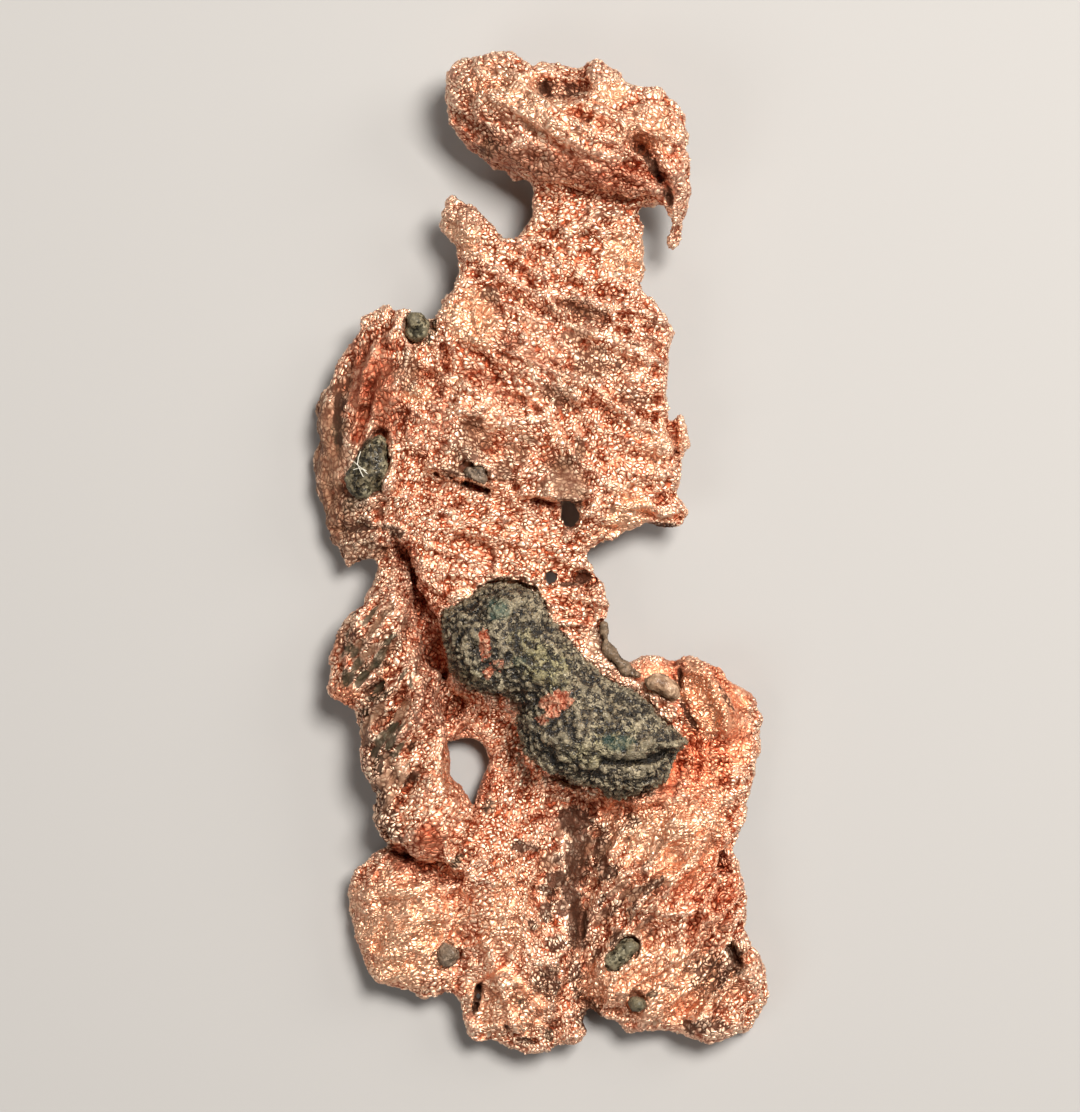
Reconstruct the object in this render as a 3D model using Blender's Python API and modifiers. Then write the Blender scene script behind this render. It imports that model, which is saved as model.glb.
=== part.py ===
"""Native copper nugget lying on its back: one crumpled, folded sheet of copper, with the rock that
it grew round still set in it. Metres, +Z up, +Y towards the nugget's head. The plans below are in
millimetres from the nugget's middle, the heights in millimetres from the surface that it lies on."""

import bpy
import bmesh
import numpy as np
from mathutils import Matrix, Vector, noise

MM = 0.001

# Driving dimensions, in millimetres
NUGGET_LENGTH = 100.8
NUGGET_WIDTH = 46.2
GAP = 0.3
SHEET_VOXEL = 0.6
COPPER_VOXEL = 0.45
ROCK_VOXEL = 0.4
COPPER_TRIANGLES = 6500
LUMP_TRIANGLES = 700
GRAIN_TRIANGLES = 110
SLAB_HALF = 1.5
LUMPINESS = 0.35
LUMP_SIZE = 3.5
ROCK_LUMPINESS = 0.2
OPEN_ABOVE = 1.5
SLIT_REACH = 20
PAD_DEPTH = 0.12

# The folded sheet's stretches. Each has its plan, the width over which its rim rolls off, how much
# of its thickness is left at the rim, and spots of (x, y, top, thickness) that its surface passes.
SHEETS = {
    "head": dict(
        plan=[(-9.7, 46.5), (-9.6, 48.2), (-8.8, 49.3), (-7, 49.9), (-5, 50.3), (-2.8, 50), (-0.9, 48.9),
              (-0.3, 48.6), (0.2, 49.3), (1.7, 49.1), (3.3, 48.3), (4, 48.4), (4.6, 49.3), (6, 49.1),
              (7.5, 48.2), (8.5, 47.1), (10.2, 46.6), (11.2, 46.8), (12.2, 46.1), (13.1, 45.2), (14.3, 44.3),
              (14.8, 43.4), (14.6, 40.5), (13.8, 38), (13.1, 36), (12.4, 34.1), (11, 34.6), (9.2, 34.9),
              (5.5, 35.2), (0.5, 36.3), (-1.4, 37.1), (-2.7, 37.4), (-3.1, 38.3), (-4.3, 38.9), (-5.5, 39.2),
              (-6.3, 40.1), (-7.6, 41.1), (-8.3, 42.1), (-9.1, 43.7), (-9.6, 45.1)],
        rim=2.2, rim_left=0.45,
        spots=[(-8.5, 46.5, 9.6, 6), (-4, 45.5, 12, 8), (0, 43, 12.9, 10), (4, 40.5, 12.9, 13.4),
               (10, 39, 11.7, 9), (-5, 50, 9.6, 5), (3, 48, 10.2, 6), (7, 48, 10.5, 6), (8, 44, 12.2, 9),
               (13, 45, 9.6, 6), (14.5, 40, 8.8, 5), (12.5, 35, 8.8, 4.4), (5, 36, 9.8, 7), (-2, 38, 8.6, 6),
               (-7, 41.5, 8.4, 5)]),
    "head_flap": dict(
        plan=[(11.2, 46.8), (12.2, 46.1), (13.1, 45.2), (14.3, 44.3), (14.8, 43.4), (14.8, 40.5), (15.1, 38.5),
              (15.1, 36.8), (14.6, 35), (14.4, 33), (14.3, 31.6), (13.5, 30.6), (12.7, 30.2), (12.6, 31),
              (13, 32.2), (12.6, 33.5), (12.7, 34.7), (12.7, 35.7), (12, 37.3), (11.2, 39), (10.5, 40.3),
              (10, 41.3), (9.6, 43), (9.8, 45)],
        rim=0.7, rim_left=0.5,
        spots=[(10.5, 45.5, 11.4, 2.2), (11, 41, 12.6, 2.2), (14.2, 43, 10, 2.2), (14.4, 38, 9.6, 2),
               (12.5, 38, 11, 2), (13.8, 34, 8, 1.8), (13, 31, 6.6, 1.6)]),
    "neck": dict(
        plan=[(-0.8, 37.5), (-0.8, 34), (-1.6, 32.9), (-1.9, 31.5), (-3.5, 29.5), (-4, 26.5), (6, 25.5),
              (10.3, 26.7), (10.1, 27.2), (10.7, 27.8), (10.7, 29.3), (10.5, 31.9), (10, 33.5), (9.2, 34.7),
              (8, 37.5), (3.5, 38.5)],
        rim=1.4, rim_left=0.5,
        spots=[(0, 36, 7.6, 3.6), (8, 36, 7.6, 3.6), (-1, 33, 7.5, 3.4), (10, 32, 7.6, 3.4), (5, 31, 8, 3.6),
               (-3, 28, 7.7, 3.4), (10, 28, 7.4, 3.2), (4, 27, 7.9, 3.4)]),
    "arm": dict(
        plan=[(-1.7, 32.2), (-2.6, 31.8), (-3.5, 32), (-4.8, 32.4), (-5.5, 33.5), (-6.5, 34.8), (-8, 35.5),
              (-9.4, 35.6), (-10, 34.5), (-10.6, 33.1), (-9.9, 31.8), (-9.1, 30.8), (-8.5, 29.9), (-7.9, 28.3),
              (-6, 26.5), (-2, 25.5), (0.5, 26.5), (1, 30), (-0.5, 32)],
        rim=1.2, rim_left=0.45,
        spots=[(-1, 30, 7.8, 3.4), (-5, 31, 7.9, 3.2), (-8, 33, 7.6, 2.8), (-9.6, 34.6, 7, 2.4),
               (-9, 32, 6.9, 2.4), (-6, 28, 7.6, 3.2), (-1, 26.5, 7.8, 3.4)]),
    "upper_plate": dict(
        plan=[(-7.9, 27.9), (-9.1, 27.6), (-9.3, 26.3), (-9.9, 25.2), (-10.3, 24.3), (-10.6, 22.5), (-10.6, 21),
              (-11, 15.5), (-11.4, 11.5), (-10.8, 8.7), (-9.2, 7.5), (-7, 7.1), (-5.2, 6.7), (-4.9, 7.6),
              (-3.5, 7.8), (-2.6, 7.5), (-2.4, 6.3), (-1.6, 5.5), (0.5, 5.4), (2.3, 5.2), (4, 5.2), (4, 4.3),
              (3.4, 3.5), (2.6, 2.7), (2, 1), (3.5, -0.1), (4.7, 0.4), (6, 0.9), (8, 1.5), (9.5, 2.3),
              (10.1, 3.4), (11.2, 4), (13.2, 5), (13.8, 6), (13.9, 8.5), (14, 9.8), (13.4, 11.5), (13.1, 13),
              (12.5, 13.6), (12.8, 15.7), (13, 16.7), (12.7, 17.6), (13, 18.9), (12.9, 20.3), (13.2, 21.5),
              (13.2, 22.9), (12.3, 24.3), (11.2, 25.7), (10.3, 26.7), (6, 28), (-1, 28)],
        rim=0.7, rim_left=0.55,
        spots=[(-9, 26, 8.2, 3), (-10, 22, 8.6, 3), (-10.5, 15, 9, 2.4), (-10.8, 9, 9, 2), (-8, 7.8, 9.5, 1.6),
               (-5.6, 7.2, 9.4, 1.6), (-3.6, 8.2, 8.2, 2.6), (0, 6.2, 8.9, 1.7), (4, 6, 8.7, 1.8), (0, 24, 7.9, 3.2), (8, 24, 7.8, 3.2), (12.5, 23, 7, 2.8),
               (12.5, 18, 7, 2.8), (12.5, 14, 6.8, 2.6), (0, 16, 8.5, 3), (6, 16, 8, 3), (6, 10, 7.8, 2.6),
               (13.5, 9, 6.2, 2.4), (13, 5.5, 6.2, 2.4), (8, 3, 6.8, 2.4), (3, 1, 6.9, 2.4)]),
    "flake": dict(
        plan=[(13.2, 12.7), (13.4, 13.5), (13.7, 14.3), (14.3, 13.6), (14.7, 12.5), (15, 10.9), (14.6, 10),
              (13.9, 9.8), (13, 9.8), (12.8, 11)],
        rim=0.6, rim_left=0.5,
        spots=[(13.8, 13.6, 6, 1.6), (14.6, 11, 6.4, 1.6), (13.2, 10.5, 6.2, 1.8)]),
    "nub": dict(
        plan=[(12.8, 5.8), (14.3, 5.7), (14.9, 4.7), (14.7, 3.5), (14, 2.7), (12, 2.5), (10.5, 3.1), (10.5, 4.5)],
        rim=0.8, rim_left=0.5,
        spots=[(14.2, 5, 6.8, 2.4), (14, 3.4, 6, 2.2), (11, 4, 6.2, 2.2)]),
    "middle_plate": dict(
        plan=[(-13.5, 13), (-8, 13), (0, 12), (1.5, 9), (2.3, 5.2), (2.4, 2.6), (3, 1.5), (4.7, 0.3),
              (5.7, -1.2), (5.2, -2.1), (4.3, -1.6), (3.7, -2.2), (4.4, -2.9), (5.7, -2.4), (6.8, -3),
              (7.1, -4.5), (7.2, -5.6), (6.2, -6.7), (5.8, -8), (6.6, -9.6), (8.2, -10.8), (10.2, -12.4),
              (13.5, -14), (15, -17), (13, -20), (6, -22.5), (0, -20), (-3.5, -16), (-9, -14.2), (-9.7, -9),
              (-11.3, -4.8), (-12.9, -1), (-13.5, 1.6), (-15, 3.6), (-15.5, 9)],
        rim=1, rim_left=0.5,
        spots=[(-14, 6, 7.8, 2.8), (-12, 3, 7.5, 2.8), (-9, 10, 6.7, 2.2), (-7, 6, 7, 2.4), (-3, 5, 7.3, 2.6), (1, 4, 6.8, 2.4),
               (1, 9, 6.2, 2), (-12, -1, 7.2, 3), (-8, -1, 7.3, 3.2), (0, 0, 7, 3), (5, -1, 6.4, 2.4),
               (6.5, -4, 6.4, 2.6), (-10, -5, 6.8, 3), (-9, -9, 6.2, 3), (-3, -10, 6.5, 3), (3, -7, 6.6, 3),
               (6, -10, 6, 3), (10, -14, 5.9, 3), (14, -17, 5.8, 3), (9, -20, 5.5, 3), (0, -18, 5.4, 3),
               (-4, -14, 5.6, 3)]),
    "left_lobe": dict(
        plan=[(-10.8, 23.7), (-12, 24.3), (-13.9, 24.4), (-15.3, 25.3), (-16.5, 25.4), (-17.4, 24.4),
              (-18.3, 23.3), (-18.6, 21.7), (-19.4, 20.7), (-20.2, 20.3), (-20.4, 19.3), (-21.2, 17.9),
              (-21.9, 16.8), (-22.6, 15.3), (-22.9, 13.7), (-22.5, 11), (-23.1, 9.4), (-23.1, 7), (-22.2, 4.7),
              (-22.1, 3.5), (-21.3, 2.5), (-21.6, 1.4), (-20.6, 0.4), (-20, -1.1), (-19.9, -2.2), (-19.4, -2.2),
              (-18.4, -1.3), (-17.4, -0.6), (-15.7, 0), (-14.8, 1.4), (-14.8, 2.8), (-13, 4), (-10, 5.8),
              (-9.5, 11.5), (-9.8, 18.5), (-10.7, 22)],
        rim=1.4, rim_left=0.45,
        spots=[(-10.5, 22, 7.8, 3), (-10, 14, 8.4, 3), (-10.5, 7, 7.6, 3), (-14, 23, 8.4, 3),
               (-16, 24.5, 7.8, 2.8), (-15, 18, 8.8, 3), (-15, 12, 8.7, 3.2), (-14, 5, 8, 3.2), (-18, 21, 6.8, 3),
               (-19, 16, 7, 3.2), (-19, 10, 7.1, 3.4), (-18, 4, 6.8, 3.2), (-21, 17, 5, 3), (-22.4, 13, 4.3, 3.6),
               (-22.2, 8.5, 4.3, 5.4), (-21.5, 3, 4.4, 3), (-20, -1.5, 4.2, 2.4), (-17, 0, 5.6, 2.6),
               (-14, 0.5, 6.8, 3)]),
    "trench": dict(
        plan=[(-15.2, 2.4), (-13, 1.6), (-12.4, -0.7), (-10.8, -4), (-9.3, -8.5), (-8.4, -13.5), (-8.4, -16), (-10, -17),
              (-12, -14.5), (-14, -8.5), (-15.5, -4.5), (-16.4, -2), (-16, 0.2)],
        rim=0.8, rim_left=0.7,
        spots=[(-14.5, 1.5, 4.6, 2.4), (-15, -1, 4.4, 2.4), (-13, -4, 3.8, 2.4), (-11.5, -9, 3.5, 2.4), (-10, -14, 3.6, 2.4),
               (-9.5, -16.5, 4, 2.4)]),
    "left_roll": dict(
        plan=[(-14.2, -0.1), (-15.5, -0.7), (-16.8, -0.8), (-16.7, -2.3), (-17.4, -3.7), (-18, -5), (-19.5, -6.1),
              (-20, -7), (-20.8, -8.4), (-21.2, -9.5), (-21.8, -10.5), (-21.1, -12), (-21.5, -13.3),
              (-20.9, -14.7), (-19.9, -14.8), (-18.5, -15.7), (-18.3, -18), (-17.9, -20.7), (-17.2, -23.5),
              (-16.6, -25.4), (-17.1, -26.2), (-15.9, -27.4), (-15.6, -29.1), (-13.8, -28.9), (-12, -30.1),
              (-10.2, -31.2), (-9.2, -31.2), (-8.3, -29.7), (-7, -27.8), (-6.1, -25.8), (-7, -24.7),
              (-7.7, -23.4), (-9.1, -22.3), (-9.4, -19.5), (-9.4, -16), (-10, -13), (-11.2, -10), (-12.4, -6.7),
              (-12.9, -3.5)],
        rim=3.2, rim_left=0.3,
        spots=[(-15.5, -1, 6.4, 4), (-15.2, -4, 8, 5), (-15.3, -8, 8.8, 6), (-14.6, -14, 9.4, 7), (-13.6, -19, 9.6, 7),
               (-12.4, -24, 9.6, 7), (-10.5, -28.5, 9.2, 5.4), (-8, -27.5, 8.6, 4.8), (-14, -28, 8.8, 5),
               (-19.5, -9, 7.4, 5), (-20.5, -13, 7, 4.6), (-17.5, -20, 8, 6), (-11, -10, 7.6, 5)]),
    "foot": dict(
        plan=[(8, -10.5), (9.6, -10.6), (11.1, -9.9), (13, -10.2), (14.8, -10), (16.1, -10.9), (18, -11.4),
              (19.5, -12.9), (21.9, -14.2), (22.5, -15.7), (22.2, -19), (21.8, -21), (21.9, -22.7),
              (21.3, -23.9), (20.2, -24.9), (21, -25.7), (20.6, -27), (20.1, -27.4), (19.5, -29.5),
              (20.3, -31.8), (20.9, -35), (20.2, -37), (20.8, -37.9), (20.6, -39.3), (19.7, -39.8),
              (19.1, -41.5), (20.3, -41.1), (21, -39.7), (22.1, -39.6), (22.8, -42), (23.1, -44.3),
              (22.4, -45.9), (21.7, -46.8), (21, -47.8), (19.4, -48.4), (18.1, -49.3), (16.6, -49.4),
              (15.5, -48.5), (13.7, -48.1), (11.5, -47.7), (9.7, -48.1), (8.1, -47.6), (7.2, -46.7),
              (6.2, -46.4), (5, -45.7), (4, -44.9), (4.1, -46.6), (4.9, -48.3), (3.2, -49.2), (0.8, -50.3), (-1.5, -50.3),
              (-3.2, -49.5), (-3.8, -48.7), (-4.8, -48.7), (-6, -49.5), (-7.2, -49.1), (-7.8, -47.6),
              (-8.3, -46), (-8.2, -44.2), (-8.8, -43.9), (-10.3, -44.7), (-11.8, -44.7), (-13, -44),
              (-15, -44.1), (-16.8, -43.4), (-17.6, -41.9), (-17.9, -40.2), (-18.9, -38.5), (-19.4, -36.3),
              (-19.4, -33.5), (-18.6, -31.5), (-17.2, -30), (-15.5, -29.1), (-12, -26.5), (-7.5, -25.7),
              (-6.2, -25.2), (-6.7, -24.1), (-6.3, -22.5), (-5.4, -21.3), (-5.3, -20.1), (-6.1, -18.9),
              (-7.7, -18.6), (-9.5, -18.9), (-10, -16), (-8.5, -13.5), (-4, -12.7), (2, -11.3), (6, -10)],
        rim=1.3, rim_left=0.4,
        spots=[(-13.5, -37.5, 7.4, 3.4), (-12, -30, 6, 3), (-17.5, -32, 5, 3), (-18, -36.8, 4.6, 5.5), (-17, -42, 4.6, 3.4),
               (-10, -43.5, 5, 3), (-9, -37, 5.4, 3), (-4.5, -16, 3.8, 2.6), (-3.5, -21.5, 3.6, 2.6),
               (-5, -25.5, 5, 3), (-2, -26.5, 5, 3), (-4, -34.5, 7, 3.2), (-1, -40.5, 6.4, 3.2),
               (-4, -46.5, 5.4, 3), (1, -48.5, 4.8, 3), (3, -34, 4.8, 3), (10, -34.5, 7, 3.2), (16, -29.5, 6.4, 3),
               (19.5, -31.5, 5.2, 2.8), (16, -39.5, 6, 3), (12, -44.5, 5.6, 3), (20, -45.5, 5, 5.4),
               (19, -16.5, 4.8, 2.8), (16, -14.5, 5.2, 2.8), (13, -11.5, 4.4, 2.6), (9.5, -11.5, 4.2, 2.6),
               (21.5, -19, 3.8, 2.6), (17, -24.5, 6, 3), (12, -24.5, 5.4, 3), (6, -24.5, 4.6, 3), (0, -23, 4.2, 3)]),
}

# Folds and furrows that run over the sheets: path, height and half width
FOLDS = [
    ([(6, -24.5), (4.8, -30), (4.3, -38), (4.4, -45)], -1.8, 1.5),
    ([(5.4, -41.5), (8.5, -37), (12, -31.5)], 0.7, 1.1),
    ([(-18, -34), (-12, -33), (-8.5, -37)], 0.6, 1.2),
    ([(-5.5, -43), (-5.8, -47)], -0.8, 0.7),
    ([(15, -11.6), (16.3, -11.6), (17.6, -13.5), (18.8, -15.9), (18.4, -17.8)], 1.7, 0.8),
    ([(0.2, 46.8), (2, 46.2), (4, 46.4)], -1.8, 0.9),
    ([(-7, 42), (-4, 41.4)], -0.8, 0.6),
    ([(9.6, 40.5), (11.5, 38.8), (13, 36)], -0.8, 0.5),
    ([(-9.7, 22.5), (-9.4, 18.8)], -1.2, 0.5),
    ([(-15, -3.5), (-16, -9), (-15.5, -15)], 0.5, 0.9),
    ([(-15, -29.6), (-12.5, -30.5), (-9.2, -31.8)], -1.2, 0.7),
    ([(-9.3, -27.5), (-8.9, -31)], 0.6, 0.6),
    ([(2, -22.9), (5.5, -24.3), (9, -24.7), (12.5, -23.6)], 0.9, 0.7),
    ([(4.5, -25.4), (7, -26), (9, -25.8)], -0.9, 0.7),
    ([(18.1, -29.4), (18.9, -31.8)], -0.6, 0.6),
    ([(-8.5, -33), (-8, -38), (-8.1, -43)], -0.7, 1.2),
    ([(-8.6, 19), (-3, 16), (2, 12.5)], -0.5, 1.2),
    ([(-4, 22), (3, 18.5), (9, 14)], 0.5, 1.3),
    ([(5, 24.5), (12, 21)], 0.4, 1.2),
    ([(-5, -39.5), (-3.5, -44), (-2, -48)], 0.5, 1),
    ([(13.5, -27), (16.5, -34), (17.5, -38)], 0.5, 1.4),
    ([(-14.5, 20.5), (-18, 15), (-17.2, 11)], -0.6, 1.2),
]

# Round holes and slits through the sheet: ends and half width
SLITS = [
    ((0.9, -2.2), (0.9, -2.2), 0.45),
    ((-6, -42.8), (-6.6, -45.6), 0.28),
]

# The rock set in the copper: plan, height of its middle and rim, how deep its underside lies,
# the rim's width, and the triangles it keeps
ROCKS = {
    "matrix_lump": dict(
        plan=[(-9.7, -5.8), (-9.6, -8.5), (-8.8, -11.3), (-7.8, -12.6), (-6, -13.7), (-4.5, -13.6), (-3, -14.1),
              (-2.1, -14.7), (-2.3, -17.5), (-1.9, -19.7), (-0.5, -20.8), (2, -22), (3.8, -22.8), (5.8, -23.2),
              (7.5, -24), (9.5, -23.8), (11.5, -23.2), (12.5, -22), (12.6, -20.2), (13.7, -19.4),
              (14.7, -18.5), (13.2, -17.6), (12, -16.5), (10.8, -15), (9, -13.7), (7.2, -12.7), (5.8, -11.9),
              (4.2, -10.8), (2.8, -9), (1.2, -7.5), (0.3, -5.8), (-0.2, -4.2), (-2, -3.1), (-4, -2.7),
              (-5.8, -3.3), (-7, -4.7), (-8.5, -5.5)],
        crown=12.6, rim_top=7.4, under=4.2, rim=5.5, triangles=LUMP_TRIANGLES),
    "matrix_patch_left": dict(
        plan=[(-15.7, 12.4), (-17.4, 11.5), (-18.5, 9.4), (-19.5, 7.4), (-19, 5.9), (-17.4, 5.4), (-15.9, 6.8),
              (-15.3, 9.5)],
        crown=8.9, rim_top=8, under=6.4, rim=1.6, triangles=GRAIN_TRIANGLES),
    "matrix_patch_upper": dict(
        plan=[(-13.4, 24), (-11.8, 24.1), (-11.1, 23.2), (-11.3, 21.7), (-12.4, 21.3), (-13.5, 21.8)],
        crown=8.9, rim_top=8, under=6.6, rim=1, triangles=GRAIN_TRIANGLES),
    "matrix_chip": dict(
        plan=[(-7.8, 8.9), (-5.4, 8.8), (-5.2, 7.3), (-6.4, 6.9), (-7.8, 7.6)],
        crown=9.3, rim_top=8.9, under=7.6, rim=0.7, triangles=GRAIN_TRIANGLES),
    "matrix_strip_right": dict(
        plan=[(5.9, -6.4), (6.4, -6.5), (6.9, -9.1), (8.2, -10.5), (10.3, -12), (9.8, -12.6), (7.6, -11.2),
              (6.1, -9.6)],
        crown=6.3, rim_top=6, under=4.6, rim=0.5, triangles=GRAIN_TRIANGLES),
    "quartz_pebble": dict(
        plan=[(10.2, -12.4), (11.2, -11.9), (12.6, -12), (13.6, -12.8), (14.1, -13.9), (13.7, -14.6),
              (12.6, -14.2), (11.8, -13.4), (10.6, -13.3)],
        crown=7.6, rim_top=6.8, under=4.8, rim=0.9, triangles=GRAIN_TRIANGLES),
    "matrix_grain_double": dict(
        plan=[(7.6, -39), (8.9, -38), (9.7, -38.6), (9.4, -40), (8.2, -40.6), (7.5, -41.5), (6.5, -41.1),
              (6.4, -40.1), (7.1, -39.8)],
        crown=7.2, rim_top=6.4, under=4.9, rim=0.9, triangles=GRAIN_TRIANGLES),
    "matrix_grain_right": dict(
        plan=[(8.8, -44.3), (9.7, -43.9), (10.6, -44.4), (10.6, -45.3), (9.7, -45.8), (8.9, -45.3)],
        crown=7, rim_top=6.2, under=4.9, rim=0.8, triangles=GRAIN_TRIANGLES),
    "matrix_grain_left": dict(
        plan=[(-10.2, -39.7), (-9.4, -39), (-8.5, -39.2), (-8.2, -40.1), (-8.8, -40.9), (-9.8, -40.8)],
        crown=6.4, rim_top=5.8, under=4.3, rim=0.8, triangles=GRAIN_TRIANGLES),
}

COPPER = dict(colour=(0.86, 0.42, 0.27), roughness=0.36, metallic=1.0)
DARK_ROCK = dict(colour=(0.075, 0.085, 0.06), roughness=0.6, metallic=0.0)
GREEN_ROCK = dict(colour=(0.11, 0.13, 0.07), roughness=0.8, metallic=0.0)
GLASSY_ROCK = dict(colour=(0.3, 0.2, 0.13), roughness=0.3, metallic=0.0)
FINISHES = {
    "copper_nugget": COPPER,
    "matrix_lump": DARK_ROCK,
    "matrix_chip": DARK_ROCK,
    "quartz_pebble": GLASSY_ROCK,
}


def clear_scene():
    for item in list(bpy.data.objects):
        bpy.data.objects.remove(item, do_unlink=True)


def new_collection(name):
    collection = bpy.data.collections.new(name)
    bpy.context.scene.collection.children.link(collection)
    return collection


def new_object(name, mesh, collection):
    item = bpy.data.objects.new(name, mesh)
    collection.objects.link(item)
    return item


def made_mesh(item, collection, name):
    """The object as its modifiers leave it, as a new mesh object in its place."""
    graph = bpy.context.evaluated_depsgraph_get()
    mesh = bpy.data.meshes.new_from_object(item.evaluated_get(graph))
    bpy.data.objects.remove(item, do_unlink=True)
    return new_object(name, mesh, collection)


def weld(mesh):
    shape = bmesh.new()
    shape.from_mesh(mesh)
    bmesh.ops.remove_doubles(shape, verts=shape.verts, dist=0.001 * MM)
    shape.to_mesh(mesh)
    shape.free()


def voxel_remeshed(item, collection, name, voxel, smoothing=0):
    remesh = item.modifiers.new("even mesh", "REMESH")
    remesh.mode = "VOXEL"
    remesh.voxel_size = voxel * MM
    if smoothing:
        smooth = item.modifiers.new("soften", "SMOOTH")
        smooth.iterations = smoothing
    return made_mesh(item, collection, name)


def slab(name, plan, collection, voxel):
    """A flat, evenly meshed slab of the plan's shape, half a slab above and below zero."""
    curve = bpy.data.curves.new(name, "CURVE")
    curve.dimensions = "2D"
    curve.fill_mode = "BOTH"
    curve.extrude = SLAB_HALF * MM
    spline = curve.splines.new("POLY")
    spline.points.add(len(plan) - 1)
    for point, (x, y) in zip(spline.points, plan):
        point.co = (x * MM, y * MM, 0, 1)
    spline.use_cyclic_u = True
    flat = made_mesh(new_object(name, curve, collection), collection, name)
    weld(flat.data)
    return voxel_remeshed(flat, collection, name, voxel)


def read_points(mesh):
    """The mesh's points in millimetres."""
    points = np.empty(len(mesh.vertices) * 3)
    mesh.vertices.foreach_get("co", points)
    return points.reshape(-1, 3) / MM


def write_points(mesh, points):
    mesh.vertices.foreach_set("co", (points * MM).ravel())
    mesh.update()


def path_distance(points, path, closed=False):
    """How far each point is from the path, in plan."""
    ends = path[1:] + path[:1] if closed else path[1:]
    nearest = np.full(len(points), np.inf)
    for start, end in zip(path, ends):
        start = np.array(start)
        along = np.array(end) - start
        length = max(along @ along, 1e-9)
        share = np.clip((points[:, :2] - start) @ along / length, 0, 1)
        gap = points[:, :2] - start - share[:, None] * along
        nearest = np.minimum(nearest, np.hypot(gap[:, 0], gap[:, 1]))
    return nearest


def plate_terms(points, centres):
    """The thin plate spline's terms of each point for each centre, with its level and slopes."""
    apart = np.linalg.norm(points[:, None, :] - centres[None, :, :], axis=2)
    bend = apart ** 2 * np.log(apart + 1e-6)
    return np.hstack([bend, np.ones((len(points), 1)), points])


def surface_through(points, spots, column):
    """A smooth surface through one column of the spots, read at each point's plan position."""
    spots = np.array(spots)
    centres = spots[:, :2]
    terms = plate_terms(centres, centres)
    plane = terms[:, len(centres):]
    system = np.vstack([terms, np.hstack([plane.T, np.zeros((3, 3))])])
    weights = np.linalg.solve(system, np.concatenate([spots[:, column], np.zeros(3)]))
    return plate_terms(points[:, :2], centres) @ weights


def rim_cover(points, plan, rim):
    """0 at the plan's rim, 1 from the rim's width inwards, along a quarter circle."""
    inward = np.clip(path_distance(points, plan, closed=True) / rim, 0, 1)
    return np.sqrt(1 - (1 - inward) ** 2)


def shaped_sheet(name, spec, collection):
    sheet = slab(name, spec["plan"], collection, SHEET_VOXEL)
    points = read_points(sheet.data)
    top = surface_through(points, spec["spots"], 2)
    thickness = surface_through(points, spec["spots"], 3)
    left = spec["rim_left"]
    kept = left + (1 - left) * rim_cover(points, spec["plan"], spec["rim"])
    side = np.clip(points[:, 2] / SLAB_HALF, -1, 1)
    points[:, 2] = top - thickness / 2 + side * kept * thickness / 2
    write_points(sheet.data, points)
    return sheet


def joined(items, name, collection):
    """One object that holds every item's mesh."""
    shape = bmesh.new()
    for item in items:
        shape.from_mesh(item.data)
        bpy.data.objects.remove(item, do_unlink=True)
    mesh = bpy.data.meshes.new(name)
    shape.to_mesh(mesh)
    shape.free()
    return new_object(name, mesh, collection)


def roughened(mesh, amount, size, folds=()):
    """Presses the folds into the upper side and makes the whole surface slightly lumpy."""
    points = read_points(mesh)
    normals = np.array([vertex.normal for vertex in mesh.vertices])
    upper = np.clip(normals[:, 2] * 2, 0, 1)
    for path, height, half_width in folds:
        press = np.exp(-(path_distance(points, path) / half_width) ** 2)
        points[:, 2] += height * press * upper
    swell = np.array([noise.fractal(Vector(point / size), 1.0, 2.0, 3) for point in points])
    write_points(mesh, points + normals * (amount * swell)[:, None])


def keep_largest_shell(mesh):
    """Drops loose crumbs and any closed hollow inside."""
    shape = bmesh.new()
    shape.from_mesh(mesh)
    left = set(shape.verts)
    shells = []
    while left:
        seed = left.pop()
        shell = {seed}
        edge_of_shell = [seed]
        while edge_of_shell:
            vertex = edge_of_shell.pop()
            for edge in vertex.link_edges:
                other = edge.other_vert(vertex)
                if other in left:
                    left.remove(other)
                    shell.add(other)
                    edge_of_shell.append(other)
        shells.append(shell)
    largest = max(shells, key=len)
    spare = [vertex for shell in shells if shell is not largest for vertex in shell]
    bmesh.ops.delete(shape, geom=spare, context="VERTS")
    shape.to_mesh(mesh)
    shape.free()


def simplified(item, triangles, collection, name):
    item.data.calc_loop_triangles()
    share = triangles / len(item.data.loop_triangles)
    thin_out = item.modifiers.new("fewer faces", "DECIMATE")
    thin_out.ratio = min(share, 1)
    thin_out.use_collapse_triangulate = True
    return made_mesh(item, collection, name)


def rest_flat(mesh, depth):
    """Cuts the lowest places off flat at the given height: the pads that the nugget lies on."""
    shape = bmesh.new()
    shape.from_mesh(mesh)
    everything = shape.verts[:] + shape.edges[:] + shape.faces[:]
    bmesh.ops.bisect_plane(shape, geom=everything, plane_co=(0, 0, depth * MM), plane_no=(0, 0, 1),
                           clear_inner=True)
    open_edges = [edge for edge in shape.edges if edge.is_boundary]
    bmesh.ops.holes_fill(shape, edges=open_edges, sides=0)
    bmesh.ops.triangulate(shape, faces=shape.faces)
    shape.to_mesh(mesh)
    shape.free()


def subtract(item, cutter):
    cut = item.modifiers.new(cutter.name, "BOOLEAN")
    cut.operation = "DIFFERENCE"
    cut.solver = "EXACT"
    cut.object = cutter


def as_cutter(item):
    item.hide_render = True
    item.display_type = "WIRE"
    return item


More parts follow.
